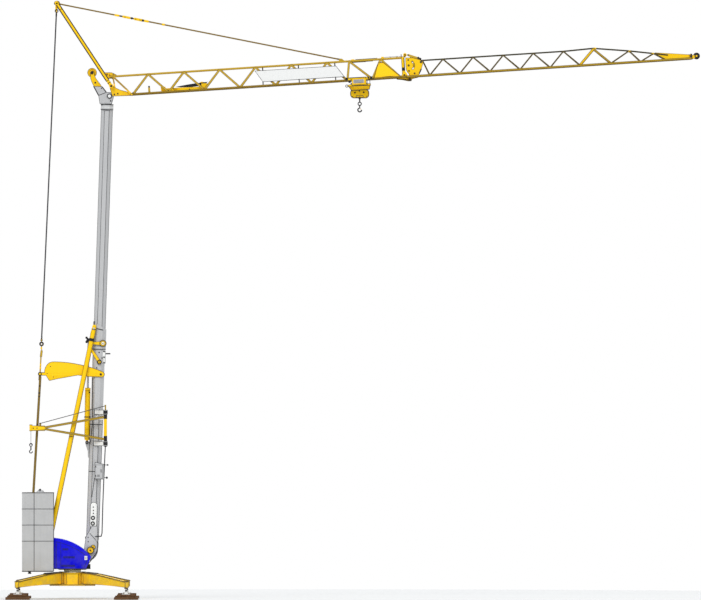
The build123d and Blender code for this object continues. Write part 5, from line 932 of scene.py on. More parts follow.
# Dark beads up the mast's corners: painted shade along the corner lines.
lower_corner_shade = new_piece("lower_mast_seams", "platform", "dark_steel", MAST)
corner_shade_beads(lower_corner_shade, LOWER_HALF, 0.02, 5.58, 0.01)
upper_corner_shade = new_piece("upper_mast_seams", "upper_mast", "dark_steel", MAST)
corner_shade_beads(upper_corner_shade, UPPER_HALF_WIDTH, 7.95, 18.26, 0.008)
lower_bands = new_piece("lower_mast_bands", "platform", "dark_steel", **on_tube)
for half, low, high, proud in (
    (0.286, 8.1, 8.13, 0.006),
    (0.286, 8.24, 8.255, 0.006),
    (LOWER_HALF, 2.9, 2.93, 0.005),
    (LOWER_HALF, 4.9, 4.93, 0.005),
):
    octagon_band(lower_bands, half, low, high, proud)
head_bands = new_piece("mast_head_bands", "upper_mast", "dark_steel", **on_tube)
octagon_band(head_bands, 0.265, 18.285, 18.315, 0.004)
octagon_band(head_bands, 0.265, 18.5, 18.53, 0.004)
pale_band = new_piece("mast_head_pale_band", "upper_mast", "grey_paint", MAST, 0.002, hub_white)
octagon_band(pale_band, 0.265, 18.39, 18.42, 0.003)

access_plates = new_piece("mast_access_plates", "platform", "white_panel", MAST, 0.003, hub_white)
access_rims = new_piece("mast_access_rims", "platform", "dark_steel", **on_tube)
access_fittings = new_piece("mast_access_fittings", "platform", "dark_steel", **on_tube)
conduits = new_piece("mast_conduits", "platform", "dark_steel", MAST)
plate_middle = seen_on_mast(93.6, 515)
for side in SIDES:
    capsule(access_plates, plate_middle, 0.135, 0.4, side, 0.259, 0.271)
    capsule(access_rims, plate_middle, 0.152, 0.4, side, 0.258, 0.266)
    for row in (507, 510.3, 513.3):
        disc(access_fittings, seen_on_mast(93.4, row), 0.026, side, 0.271, 0.283, 16)
    for column, row in ((93, 517.8), (92.8, 523.4)):
        washer(access_fittings, seen_on_mast(column, row), 0.045, 0.09, side, 0.271, 0.289, 28)
    for low, high, depth, radius in (
        ((91.9, 497), (94.6, 478), 0.262, 0.012),
        ((89.9, 533.3), (96.3, 540.4), 0.289, 0.011),
    ):
        ends = [seen_on_mast(*low, side * depth), seen_on_mast(*high, side * depth)]
        bent_bar(conduits, ends, radius, 8)

# Mast foot: bumpers, pins, rope sheaves and hoses

bumpers = new_piece("mast_bumpers", "platform", "dark_steel", bevel=0.004)
foot_pins = new_piece("mast_foot_pins", "platform", "dark_steel", bevel=0.002)
for side in SIDES:
    spot = seen(86.4, 537.6, side * 0.2)
    rod(bumpers, spot - Vector((0.05, 0, 0)), spot + Vector((0.03, 0, 0)), 0.045, 20, 0.055)
    pin_head(foot_pins, (0.574, side * 0.338, 1.751), (0, side, 0), 0.05, 0.025)
    bolts_seen(foot_pins, ((88.2, 541.5), (95.4, 536.5), (88.2, 537.3)), side, 0.285, 0.024)
softened_copy("mast_foot", "platform", "grey_paint", 0.004, 40)

wheels = new_piece("foot_sheave_wheels", "platform", "yellow_paint", replaced=("foot_sheaves",))
rims = new_piece("foot_sheave_rims", "platform", "dark_steel")
for x, y, z, radius, width, bore, outer, nut_y, nut in (
    (0.765, -0.35, 2.074, 0.118, 0.048, 0.0225, 0.157, 0.375, 0.034),
    (0.88, -0.305, 2.21, 0.074, 0.028, 0.0185, 0.098, 0.32, 0.027),
):
    sheave(wheels, (x, y, z), radius, width, bore)
    washer(rims, (x, z), radius - 0.001, outer, 1, y - width / 2, y + width / 2)
    rod(rims, (x, -nut_y, z), (x, -nut_y - 0.018, z), nut, 6)

hoses = new_piece("hoses", "platform", "dark_steel")
front_hose = [(97.2, 541.2), (98.1, 543.6), (97.9, 547.5), (97.2, 551), (95.6, 554.3)]
front_hose += [(93.3, 557.6), (90.9, 560.6), (88.6, 563.6), (86.8, 566.3)]
bent_bar(hoses, [seen(*spot, -0.31) for spot in front_hose], 0.019, 10)
pressure_hose = [(92.4, 377.5, -0.285), (92.6, 395, -0.285), (92.2, 425, -0.285)]
pressure_hose += [(91.2, 438, -0.285), (89.7, 444.2, -0.2)]
bent_bar(hoses, [seen(*spot) for spot in pressure_hose], 0.018, 8)
control_line = new_piece("control_line", "platform", "dark_steel", replaced=("mast_line",))
lead = [(96.5, 536.3, -0.286), (97.5, 536.3, -0.34), (101.2, 536.2, -0.34), (102.1, 533, -0.343)]
lead += [(102.9, 505, -0.4), (103.9, 480, -0.47), (105.5, 444.9, -0.56)]
bent_bar(control_line, [seen(*spot) for spot in lead], 0.022, 12)


# Control cabinet: door seam, hinges, handle, vents, knobs

HANDLE_LEVEL = 5.38
fittings = new_piece("cabinet_fittings", "platform", "dark_steel", bevel=0.002)
low, high = (Vector(corner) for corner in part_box("control_cabinet"))
face_y = low.y
door_x = seen(102.6, 470).x
y_low, y_high = face_y - 0.004, face_y + 0.004
slab(fittings, (door_x - 0.006, y_low, low.z + 0.03), (door_x + 0.006, y_high, high.z - 0.1))
for level in (low.z + 0.022, high.z - 0.11):
    slab(fittings, (low.x + 0.02, y_low, level), (door_x, y_high, level + 0.01))
for share in (0.2, 0.75):
    hinge = Vector((low.x + 0.03, face_y - 0.008, low.z + (high.z - low.z) * share))
    rod(fittings, hinge - UP * 0.04, hinge + UP * 0.04, 0.012, 12)
handle = Vector((door_x - 0.06, face_y - 0.014, HANDLE_LEVEL))
square_bar(fittings, handle, handle + UP * 0.14, 0.02, 0.014)
for i in range(5):
    level = low.z + 0.1 + i * 0.022
    vent_low = (low.x + 0.09, face_y - 0.006, level)
    slab(fittings, vent_low, (door_x - 0.12, face_y + 0.002, level + 0.007))
for column, row, radius in ((108, 464.9, 0.038), (107.2, 477.6, 0.05)):
    knob = seen(column, row, (low.y + high.y) / 2)
    reach = Vector((radius, 0, 0))
    rod(fittings, (high.x - 0.005, knob.y, knob.z), knob - reach * 0.5, 0.014, 12)
    rod(fittings, knob - reach, knob + reach * 0.6, radius, 20, radius * 0.7)
softened_copy("control_cabinet", "platform", "grey_paint", 0.008, 40)


# Back struts: end caps, bands, top pins, and dark beads of painted shade along their flanks

STRUT_Y, STRUT_RADIUS, STRUT_LEAN = 0.38, 0.085, 0.209
STRUT_TOP = Vector((0.914, 0, 11.5))
FLANK_SHADE_LOW, FLANK_SHADE_TOP = 1.7, 11.4


def on_strut(z, side):
    """A point on a back strut's axis."""
    return Vector((STRUT_TOP.x - (STRUT_TOP.z - z) * STRUT_LEAN, side * STRUT_Y, z))


strut_bands = new_piece("strut_bands", "platform", "dark_steel", bevel=0.002)
strut_caps = new_piece("strut_caps", "platform", "yellow_paint", bevel=0.003)
strut_seams = new_piece("strut_seams", "platform", "yellow_paint", material=shade_bead_brown)
strut_line = (on_strut(STRUT_TOP.z, 1) - on_strut(FLANK_SHADE_LOW, 1)).normalized()
strut_aside = strut_line.cross(ACROSS) * (STRUT_RADIUS + 0.002)
top_pin = seen(94.3, 328)
for side in SIDES:
    for low, high, proud in (
        (11.44, 11.475, 0.008),
        (6.9, 6.92, 0.005),
        (1.62, 1.66, 0.008),
        (2.02, 2.045, 0.005),
    ):
        rod(strut_bands, on_strut(low, side), on_strut(high, side), STRUT_RADIUS + proud, 28)
    rod(strut_caps, on_strut(11.575, side), on_strut(11.65, side), STRUT_RADIUS + 0.004, 28, 0.06)
    pin_foot = Vector((top_pin.x, side * STRUT_Y, STRUT_TOP.z))
    rod(strut_bands, pin_foot, pin_foot + UP * 0.31, 0.024, 16)
    # Dark beads down both flanks of each strut: painted shade on its round sides.
    for offset in (strut_aside, -strut_aside):
        low, high = on_strut(FLANK_SHADE_LOW, side) + offset, on_strut(FLANK_SHADE_TOP, side) + offset
        rod(strut_seams, low, high, 0.013, 8)


# Painted edge shade: dark beads that run along the edges of plates and box sections, standing in for
# the shade at those edges

SHADE_BEAD_ANGLE = math.radians(50)
SHORTEST_SHADE_BEAD, HIGHEST_SHADE_BEAD = 0.004, 25.41
GROOVE_BACK, GROOVE_FRONT = -1.7, -1.5


def beads_along(name, lines, radius):
    """Round beads along many straight lines, made as one bevelled curve."""
    curve = bpy.data.curves.new(name, "CURVE")
    curve.dimensions = "3D"
    curve.bevel_depth = radius
    curve.bevel_resolution = 1
    curve.use_fill_caps = True
    for line in lines:
        spline = curve.splines.new("POLY")
        spline.points.add(1)
        for point, place in zip(spline.points, line):
            point.co = (*place, 1)
    holder = bpy.data.objects.new(name, curve)
    mesh = bpy.data.meshes.new_from_object(holder)
    beads = bmesh.new()
    beads.from_mesh(mesh)
    bpy.data.objects.remove(holder)
    bpy.data.curves.remove(curve)
    bpy.data.meshes.remove(mesh)
    return beads


def edge_shade_beads(node, body, slot, radius, finish, flat_only=False, beyond=0.0):
    """Dark beads of painted shade along a node's sharp edges, or only round its faces that look across
    the crane.
    """
    source = welded_copy(node)
    lines = []
    for edge in source.edges:
        faces = edge.link_faces
        if len(faces) != 2 or edge.calc_face_angle(0) < SHADE_BEAD_ANGLE:
            continue
        if edge.calc_length() < SHORTEST_SHADE_BEAD:
            continue
        if flat_only and max(abs(face.normal.y) for face in faces) < 0.98:
            continue
        start, end = (v.co.copy() for v in edge.verts)
        upright_in_groove = start.x == end.x and GROOVE_BACK < start.x < GROOVE_FRONT
        if node.startswith("ballast") and upright_in_groove:
            continue
        if abs(start.y) >= beyond and max(start.z, end.z) < HIGHEST_SHADE_BEAD:
            lines.append((start, end))
    source.free()
    beads = beads_along(f"{node}_lines", lines, radius)
    finish_piece(f"{node}_seams", beads, body, slot, material=finish)


ballast_blocks = ("ballast_base", "ballast_block_1", "ballast_block_2", "ballast_block_3")
inner_sides = ("jib_inner_side_left", "jib_inner_side_right")
outer_sides = ("jib_outer_side_left", "jib_outer_side_right")
FLAT, EVERY = True, False
# Nodes that get dark beads of painted edge shade.
for body, slot, finish, flat_only, radius, nodes in (
    ("chassis", "yellow_paint", shade_bead_brown, EVERY, 0.011, ("outriggers",)),
    ("chassis", "yellow_paint", shade_bead_brown, EVERY, 0.009, ("base_hub",)),
    ("platform", "concrete", shade_bead_and_rope_black, EVERY, 0.012, ballast_blocks),
    ("platform", "grey_paint", shade_bead_and_rope_black, FLAT, 0.009, ("mast_foot",)),
    ("platform", "grey_paint", shade_bead_and_rope_black, EVERY, 0.009, ("control_cabinet", "davit_brackets")),
    ("platform", "yellow_paint", shade_bead_brown, FLAT, 0.011, ("spreader_arms",)),
    ("platform", "yellow_paint", shade_bead_brown, FLAT, 0.008, ("strut_links",)),
    ("platform", "yellow_paint", shade_bead_brown, FLAT, 0.006, ("rear_tie_fork",)),
    ("platform", "yellow_paint", shade_bead_brown, EVERY, 0.009, ("rear_ties",)),
    ("davit", "yellow_paint", shade_bead_brown, EVERY, 0.008, ("davit_boom",)),
    ("upper_mast", "grey_paint", shade_bead_and_rope_black, FLAT, 0.01, ("mast_head",)),
    ("upper_mast", "yellow_paint", shade_bead_brown, FLAT, 0.01, ("head_arm", "jib_root")),
    ("upper_mast", "yellow_paint", shade_bead_brown, FLAT, 0.009, ("jib_end_frame",)),
    ("upper_mast", "yellow_paint", shade_bead_brown, EVERY, 0.01, ("forestay",)),
    ("upper_mast", "yellow_paint", shade_bead_brown, EVERY, 0.007, inner_sides),
    ("jib_tip", "yellow_paint", shade_bead_brown, EVERY, 0.006, outer_sides),
    ("jib_tip", "yellow_paint", shade_bead_brown, FLAT, 0.007, ("jib_tip_frame",)),
    ("trolley", "yellow_paint", shade_bead_and_rope_black, FLAT, 0.014, ("trolley_cage",)),
    ("hook_block", "yellow_paint", shade_bead_and_rope_black, FLAT, 0.018, ("hook_block",)),
):
    for node in nodes:
        edge_shade_beads(node, body, slot, radius, finish, flat_only)
edge_shade_beads("trolley_side_plates", "trolley", "yellow_paint", 0.009, shade_bead_and_rope_black, FLAT, 0.61)


# Links, crosshead rollers, erecting cylinder

TOP_LINK, LOW_LINK = (1.296, 10.863), (1.143, 10.072)
link_rings = new_piece("link_rings", "platform", "dark_steel", bevel=0.002)
link_washers = new_piece("link_washers", "platform", "white_panel", bevel=0.002, material=cream_paint)
rollers = new_piece("crosshead_rollers", "platform", "dark_steel", bevel=0.003)
cheek = [(0.585, 11.15), (0.655, 11.1), (0.7, 10.99), (0.66, 10.9), (0.57, 10.88), (0.56, 10.96)]
cheek += [(0.6, 11.02)]
for side in SIDES:
    for spot, inner, outer in ((TOP_LINK, 0.12, 0.146), (LOW_LINK, 0.062, 0.1)):
        washer(link_rings, spot, inner, outer, side, 0.326, 0.335)
        disc(link_rings, spot, 0.022, side, 0.346, 0.362, 16)
    disc(link_washers, TOP_LINK, 0.065, side, 0.345, 0.354)
    flat_plate(rollers, cheek, *across(side, 0.062, 0.078))
    for level in (11.105, 10.925):
        disc(rollers, (0.597, level), 0.05, side, 0.078, 0.11)

CYLINDER_FOOT = Vector((0.616, 0, 6.66))
CYLINDER_LEAN = 0.01468


def on_cylinder(z):
    """A point on the erecting cylinder's axis."""
    return Vector((CYLINDER_FOOT.x + (z - CYLINDER_FOOT.z) * CYLINDER_LEAN, 0, z))


# Dark beads down both flanks of the cylinder: painted shade on its round sides.
cylinder_seams = new_piece("cylinder_seams", "platform", "yellow_paint", material=shade_bead_brown)
cylinder_bands = new_piece("cylinder_bands", "platform", "dark_steel", bevel=0.002)
cylinder_ports = new_piece("cylinder_ports", "platform", "dark_steel", bevel=0.002)
for low, high, radius in (
    (8.93, 8.975, 0.111),
    (8.84, 8.855, 0.109),
    (6.8, 6.815, 0.109),
    (7.715, 7.755, 0.111),
):
    rod(cylinder_bands, on_cylinder(low), on_cylinder(high), radius, 36)
clamp = on_cylinder(7.735)
for side in SIDES:
    aside = Vector((side * 0.103, 0, 0))
    rod(cylinder_seams, on_cylinder(6.83) + aside, on_cylinder(8.92) + aside, 0.012, 8)
    jaw = clamp - ACROSS * side * 0.03
    square_bar(cylinder_bands, jaw - Vector((0.13, 0, 0)), jaw + Vector((0.13, 0, 0)), 0.02, 0.035)
    bolt(cylinder_bands, clamp + Vector((side * 0.125, -0.03, 0)), -ACROSS, 0.022)
    washer(cylinder_bands, CYLINDER_FOOT, 0.03, 0.07, side, 0.1165, 0.126)
for level in (8.78, 6.9):
    spot = on_cylinder(level)
    rod(cylinder_ports, spot + Vector((0.06, -0.08, 0)), spot + Vector((0.075, -0.12, 0)), 0.024, 12)
    rod(cylinder_ports, spot + Vector((0.073, -0.115, 0)), spot + Vector((0.08, -0.135, 0)), 0.03, 6)


# Spreader, rear ties, fork and rear rope

SPREADER_FACE = 0.285
TIE_PIN = Vector((-1.381, 0, 9.567))
TIE_LEAN, FORK_LEAN = 0.057, 0.051
softened_copy("spreader_arms", "platform", "yellow_paint", 0.004, 40)
spreader_pins = new_piece("spreader_pins", "platform", "dark_steel", bevel=0.002)
tie_fittings = new_piece("tie_fittings", "platform", "dark_steel", bevel=0.002)
tie_knuckles = new_piece("tie_knuckles", "platform", "yellow_paint", bevel=0.003)
for side in SIDES:
    pin_head(spreader_pins, (1.206, side * SPREADER_FACE, 9.55), (0, side, 0), 0.046, 0.03)
    bolts_seen(spreader_pins, ((47.2, 373.6), (50.5, 366.5), (53.5, 377)), side, SPREADER_FACE, 0.02)
    washer(tie_fittings, TIE_PIN, 0.045, 0.075, side, 0.3, 0.312)
    disc(tie_knuckles, TIE_PIN, 0.04, side, 0.3, 0.318)
    for column, row, radius in (
        (40.4, 385.9, 0.03),
        (39.3, 392.9, 0.034),
        (40.3, 396.4, 0.028),
        (37.9, 424.4, 0.022),
    ):
        spot = seen(column, row)
        tie_x = TIE_PIN.x + (spot.z - TIE_PIN.z) * TIE_LEAN
        disc(tie_fittings, ((tie_x + spot.x) / 2, spot.z), radius, side, 0.286, 0.3, 16)

EYE = Vector((-1.316, 0, 10.84))
fork_ring = new_piece("fork_ring", "platform", "dark_steel", bevel=0.003)
collar(fork_ring, EYE, ACROSS, 0.052, 0.1, -0.052, 0.052, 36)
for level, radius in ((11.0, 0.05), (11.07, 0.034)):
    spot = (EYE.x - 0.006 + (level - EYE.z) * 0.045, level)
    washer(fork_ring, spot, radius * 0.5, radius, 1, -0.024, 0.024)
rod(fork_ring, (-1.309, 0, 11.06), (-1.304, 0, 11.17), 0.03, 16)
fork_links = new_piece("fork_links", "platform", "yellow_paint", bevel=0.008)
for level, half in ((10.66, 0.045), (10.38, 0.055), (9.95, 0.045), (9.82, 0.05)):
    x = TIE_PIN.x + (level - TIE_PIN.z) * FORK_LEAN
    square_bar(fork_links, (x, 0, level - half), (x + 0.003, 0, level + half), 0.075, 0.07)


def strand_piece(name, node, strands, cuts, start, end):
    """Strands that stretch between two bodies, cut across so that they follow both."""
    half = (start - end).length / 2
    long_edges = [edge for edge in strands.edges if edge.calc_length() > half]
    bmesh.ops.subdivide_edges(strands, edges=long_edges, cuts=cuts, use_grid_fill=True)
    piece = finish_piece(name, strands, None, None, material=shade_bead_and_rope_black, replaced=(node,))
    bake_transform(piece)


ROPE_FOOT, ROPE_HEAD = Vector((-1.311, 0, 11.12)), Vector((-0.6844, 0, 24.9))
rear_line = bmesh.new()
rod(rear_line, ROPE_FOOT, ROPE_HEAD, 0.03, 10)
strand_piece("rear_rope_strand", "rear_rope", rear_line, 24, ROPE_FOOT, ROPE_HEAD)


# Davit: sleeves and collars of its post and head, head plates, pins; bracket plate on the mast

DAVIT_Y, POST_X, HEAD_X = -0.56, 1.405, -1.76
HEAD_LEVEL = 7.267
sleeves = new_piece("davit_sleeves", "davit", "yellow_paint", bevel=0.003)
collars = new_piece("davit_collars", "davit", "dark_steel", bevel=0.002)
for shape, x, low, high, radius in (
    (sleeves, POST_X, 6.93, 7.66, 0.0655),
    (sleeves, HEAD_X, 7.155, 7.4, 0.063),
    (collars, POST_X, 6.71, 6.93, 0.074),
    (collars, POST_X, 7.66, 7.84, 0.074),
    (collars, HEAD_X, 7.15, 7.165, 0.066),
    (collars, HEAD_X, 7.39, 7.405, 0.066),
):
    rod(shape, (x, DAVIT_Y, low), (x, DAVIT_Y, high), radius, 32)
rod(collars, (1.335, DAVIT_Y, 6.49), (1.475, DAVIT_Y, 6.49), 0.016, 12)
rod(collars, (POST_X, DAVIT_Y, 6.47), (POST_X, DAVIT_Y, 6.519), 0.024, 16)
head_plate = outline_seen(((32.2, 425.9), (44.4, 426.8), (45.6, 428), (44.4, 429.4), (32.2, 430.3)))
for side in SIDES:
    flat_plate(sleeves, head_plate, *sorted((DAVIT_Y + side * 0.042, DAVIT_Y + side * 0.05)))
    for x, z, face in ((-1.66, HEAD_LEVEL, 0.05), (-1.5, HEAD_LEVEL, 0.05), (-1.365, 7.47, 0.02)):
        disc(collars, (x, z), 0.024, 1, DAVIT_Y + side * face, DAVIT_Y + side * (face + 0.014), 16)

white_plate = {"bevel": 0.003, "material": hub_white}
bracket_plate = new_piece("davit_bracket_plate", "platform", "grey_paint", **white_plate)
bracket_bolts = new_piece("davit_bracket_bolts", "platform", "dark_steel", bevel=0.002)
plate_outline = [(1.0, 7.745), (1.06, 7.63), (1.3, 7.61), (1.34, 7.7), (1.34, 7.848), (1.06, 7.848)]
flat_plate(bracket_plate, plate_outline, -0.29, -0.268)
square_bar(bracket_plate, (1.06, -0.279, 7.84), (1.3, -0.279, 7.84), 0.05, 0.02)
for x in (1.09, 1.15, 1.21):
    disc(bracket_bolts, (x, 7.74), 0.02, -1, 0.29, 0.302, 16)
for level in (6.52, 7.85):
    collar(bracket_bolts, (POST_X, DAVIT_Y, level), UP, 0.09, 0.096, 0.02, 0.16, 36)


# Head of the lower mast: bar, pins and the latch in front

LATCH_Y = -0.16
latch_parts = new_piece("latch_parts", "platform", "dark_steel", bevel=0.002)
latch_case = new_piece("latch_case", "platform", "grey_paint", bevel=0.005, material=hub_white)
case_corners = ((102.5, 349.8), (104.9, 349.8), (105.4, 352), (105.2, 363.5), (102.9, 363.8))
flat_plate(latch_case, outline_seen(case_corners), -0.2, -0.12)
bent_bar(latch_parts, [seen(96.4, 328.5, -0.292), seen(103.3, 330.1, -0.292)], 0.018, 8)
mast_pins = ((99.2, 352.4, 0.028), (96.8, 367.8, 0.028), (102.2, 358, 0.028))
discs_seen(latch_parts, mast_pins, -1, 0.258, 0.275, 16)
case_screws = ((104.1, 351.3, 0.036), (104.1, 357.2, 0.036), (104.1, 362.8, 0.036))
discs_seen(latch_parts, case_screws, -1, 0.2, 0.215, 16)
bent_bar(latch_parts, [seen(105.2, 353.7, LATCH_Y), seen(110.4, 353.7, LATCH_Y)], 0.028, 12)
bent_bar(latch_parts, [seen(105.4, 350.5, LATCH_Y), seen(105.2, 363.5, LATCH_Y)], 0.014, 8)


# Mast head: heavy edges of the slanted plates, sighting ring, bolts, head sheave

PLATE_FACE = 0.235
SIGHT, ARM_PIN, WHEEL_CENTRE = (1.5725, 21.372), (0.969, 21.943), (0.8326, 22.3676)
head_fittings = new_piece("mast_head_fittings", "upper_mast", "dark_steel", bevel=0.002)
white_disc = {"bevel": 0.002, "material": hub_white}
head_discs = new_piece("mast_head_discs", "upper_mast", "white_panel", **white_disc)
for side in SIDES:
    for start, end, radius in (
        ((1.1086, 21.4026), (0.8966, 21.7896), 0.022),
        ((1.2576, 21.7726), (1.4406, 21.5346), 0.022),
        ((1.1086, 21.4026), (1.42, 21.52), 0.012),
    ):
        low, high = (Vector((x, side * (PLATE_FACE + 0.001), z)) for x, z in (start, end))
        rod(head_fittings, low, high, radius, 8)
    washer(head_fittings, SIGHT, 0.07, 0.108, side, PLATE_FACE, 0.272)
    disc(head_discs, SIGHT, 0.072, side, PLATE_FACE, 0.268)
    for x, z, size in ((1.6235, 21.168, 0.034), (1.2325, 21.705, 0.026)):
        bolt(head_fittings, (x, side * PLATE_FACE, z), (0, side, 0), size)
    disc(head_fittings, ARM_PIN, 0.036, side, 0.08, 0.09, 20)
    disc(head_fittings, WHEEL_CENTRE, 0.07, side, 0.08, 0.098)
    washer(head_fittings, WHEEL_CENTRE, 0.184, 0.2, side, 0.045, 0.054, 48)
head_wheel = new_piece("head_wheel", "upper_mast", "yellow_paint", replaced=("head_sheave",))
sheave(head_wheel, (WHEEL_CENTRE[0], 0, WHEEL_CENTRE[1]), 0.2, 0.09, 0.0205, 0.03, 56)


# Apex strut: edge bars of its legs, head blocks, bands; rope thimble; forestay adjusters

APEX = Vector((-0.6594, 0, 25.3086))
STRUT_FOOT = Vector((1.6486, 0, 21.8016))
FOOT_SPREAD, HEAD_SPREAD = 0.335, 0.09
strut_run = (APEX - STRUT_FOOT).normalized()
strut_square = Vector((strut_run.z, 0, -strut_run.x))
strut_rails = new_piece("strut_rails", "upper_mast", "dark_steel")
head_blocks = new_piece("apex_head_blocks", "upper_mast", "yellow_paint", bevel=0.004)
for side in SIDES:
    low = STRUT_FOOT + ACROSS * side * FOOT_SPREAD
    high = APEX + ACROSS * side * HEAD_SPREAD
    leg = (high - low).normalized()
    for flank in SIDES:
        offset = strut_square * flank * 0.056 + ACROSS * side * 0.035
        rod(strut_rails, low + leg * 0.3 + offset, high + leg * 0.045 + offset, 0.028, 8)
    for reach, half in ((0.16, 0.014), (0.27, 0.012), (3.9, 0.012)):
        spot = low + leg * reach
        rod(strut_rails, spot - leg * half, spot + leg * half, 0.076, 28)
    pin_head(strut_rails, low + ACROSS * side * 0.069, (0, side, 0), 0.045, 0.03)
    block_foot = APEX + ACROSS * side * 0.105
    square_bar(head_blocks, block_foot, block_foot + strut_run * 0.1, 0.04, 0.13)
    disc(head_blocks, APEX, 0.045, side, 0.165, 0.18)
thimble = new_piece("rope_thimble", "upper_mast", "dark_steel", bevel=0.002)
washer(thimble, (-0.6757, 24.99), 0.045, 0.08, 1, -0.046, 0.046)
rod(thimble, ROPE_HEAD, (-0.691, 0, 24.76), 0.034, 16)

STAY_END = JIB @ Vector((8.92, 0, 0.905))


def on_stay(column):
    """The point of the forestay's axis at a column of the side elevation."""
    x = (column - COLUMN_ZERO) * SCALE
    return APEX.lerp(STAY_END, (x - APEX.x) / (STAY_END.x - APEX.x))


adjusters = new_piece("stay_adjusters", "upper_mast", "yellow_paint", bevel=0.01)
adjuster_pins = new_piece("stay_adjuster_pins", "upper_mast", "dark_steel", bevel=0.002)
for start, end, depth in (
    (114.6, 119.2, 0.088),
    (122.6, 130.3, 0.1),
    (134.1, 142.5, 0.112),
    (143.3, 148.6, 0.096),
    (162, 164.8, 0.09),
):
    square_bar(adjusters, on_stay(start), on_stay(end), 0.075, depth)
pins = ((120.9, 0.036), (131.8, 0.05), (135.7, 0.022), (140, 0.022), (142.9, 0.05), (125, 0.02))
for column, radius in pins:
    disc(adjuster_pins, on_stay(column), radius, 1, -0.052, 0.052, 20)


# Jib: root pins, web plates, post, strips and lugs along the top chord

HALF_GAUGE = 0.5
INNER_DEPTH = 0.815


def on_side(u, v, side, proud=0.0, depth=INNER_DEPTH):
    """A point of the jib's leaning side plane, in the jib's frame."""
    return Vector((u, side * (HALF_GAUGE * (1 - v / depth) + proud), v))


def seen_on_side(column, row, side, proud=0.0):
    """The same, read off the side elevation."""
    spot = seen_on_jib(column, row)
    return on_side(spot.x, spot.z, side, proud)


def leaning_plate(shape, corners, thickness):
    """A thin plate through corners that lie in one leaning plane."""
    face = shape.faces.new([shape.verts.new(corner) for corner in corners])
    face.normal_update()
    thicken(shape, [face], face.normal * thickness)


root_pins = new_piece("jib_root_pins", "upper_mast", "dark_steel", bevel=0.002)
web_plates = new_piece("web_plates", "upper_mast", "yellow_paint", JIB)
# Dark beads round each web plate's outline: painted shade along its edges.
web_edge_shade = new_piece("web_plate_edge_shade", "upper_mast", "yellow_paint", JIB, material=shade_bead_brown)
web_outline = [(378.1, 63), (383.2, 62.6), (400.8, 77), (396.3, 76.9), (390.6, 76.4)]
web_outline += [(384.8, 76.9), (379.7, 77.8), (373.8, 79.4)]
for side in SIDES:
    discs_seen(root_pins, ((114.4, 94.4, 0.032), (117.8, 93.7, 0.032)), side, 0.26, 0.276, 20)
    discs_seen(root_pins, ((133, 93, 0.03),), side, 0.545, 0.562, 20)
    bar_pins = ((107, 74.4, 0.03), (113.2, 74.2, 0.024), (109.6, 75, 0.02))
    discs_seen(root_pins, bar_pins, side, 0.016, 0.034, 18)
    corners = [seen_on_side(column, row, side, 0.034) for column, row in web_outline]
    leaning_plate(web_plates, corners, 0.006)
    bent_bar(web_edge_shade, [*corners, corners[0]], 0.013, 8)
    for column, row in ((380.4, 66), (377, 76.6), (394.4, 75)):
        spot = seen_on_side(column, row, side, 0.032)
        rod(web_plates, spot, spot + ACROSS * side * 0.02, 0.02, 6)

post = new_piece("chord_post", "upper_mast", "yellow_paint", JIB, 0.006, lattice_yellow)
post_cap = new_piece("chord_post_cap", "upper_mast", "dark_steel", JIB, 0.005)
post_u = seen_on_jib(149.4, 91).x
CHORD_TOP, POST_TOP, CAP_TOP = 0.044, 0.24, 0.315
for shape, half, depth, low, high in (
    (post, 0.045, 0.03, CHORD_TOP, POST_TOP),
    (post_cap, 0.036, 0.025, POST_TOP, CAP_TOP),
    (post_cap, 0.06, 0.045, CHORD_TOP, CHORD_TOP + 0.014),
):
    slab(shape, (post_u - half, -HALF_GAUGE - depth, low), (post_u + half, -HALF_GAUGE + depth, high))

chord_strips = new_piece("top_chord_strips", "upper_mast", "dark_steel", JIB)
under_chord, over_chord = INNER_DEPTH - 0.052, INNER_DEPTH + 0.05
for low, high, level, radius in (
    (352, 366, under_chord, 0.024),
    (366, 373, under_chord, 0.013),
    (355.5, 377.5, over_chord, 0.016),
):
    ends = [(seen_on_jib(column, 62).x, 0, level) for column in (low, high)]
    bent_bar(chord_strips, ends, radius, 8)
lugs = new_piece("top_chord_lugs", "upper_mast", "yellow_paint", JIB, 0.008)
lug_u = seen_on_jib(382.6, 58.6).x
slab(lugs, (lug_u - 0.06, -0.04, INNER_DEPTH + 0.02), (lug_u + 0.06, 0.04, INNER_DEPTH + 0.1))
slab(lugs, (lug_u - 1.34, -0.03, INNER_DEPTH + 0.03), (lug_u - 1.2, 0.03, INNER_DEPTH + 0.075))
lock_line = new_piece("fold_lock_line", "upper_mast", "bright_steel", JIB)
line_ends = [(lug_u + 0.05, 0, INNER_DEPTH + 0.072), (11.5, 0, INNER_DEPTH + 0.075)]
bent_bar(lock_line, line_ends, 0.014, 10)
for u in (11.02, 11.3):
    rod(lock_line, (u - 0.03, 0, INNER_DEPTH + 0.073), (u + 0.03, 0, INNER_DEPTH + 0.073), 0.03, 12)


# Trolley winch: guard over its rope, ends of the bed, bolts

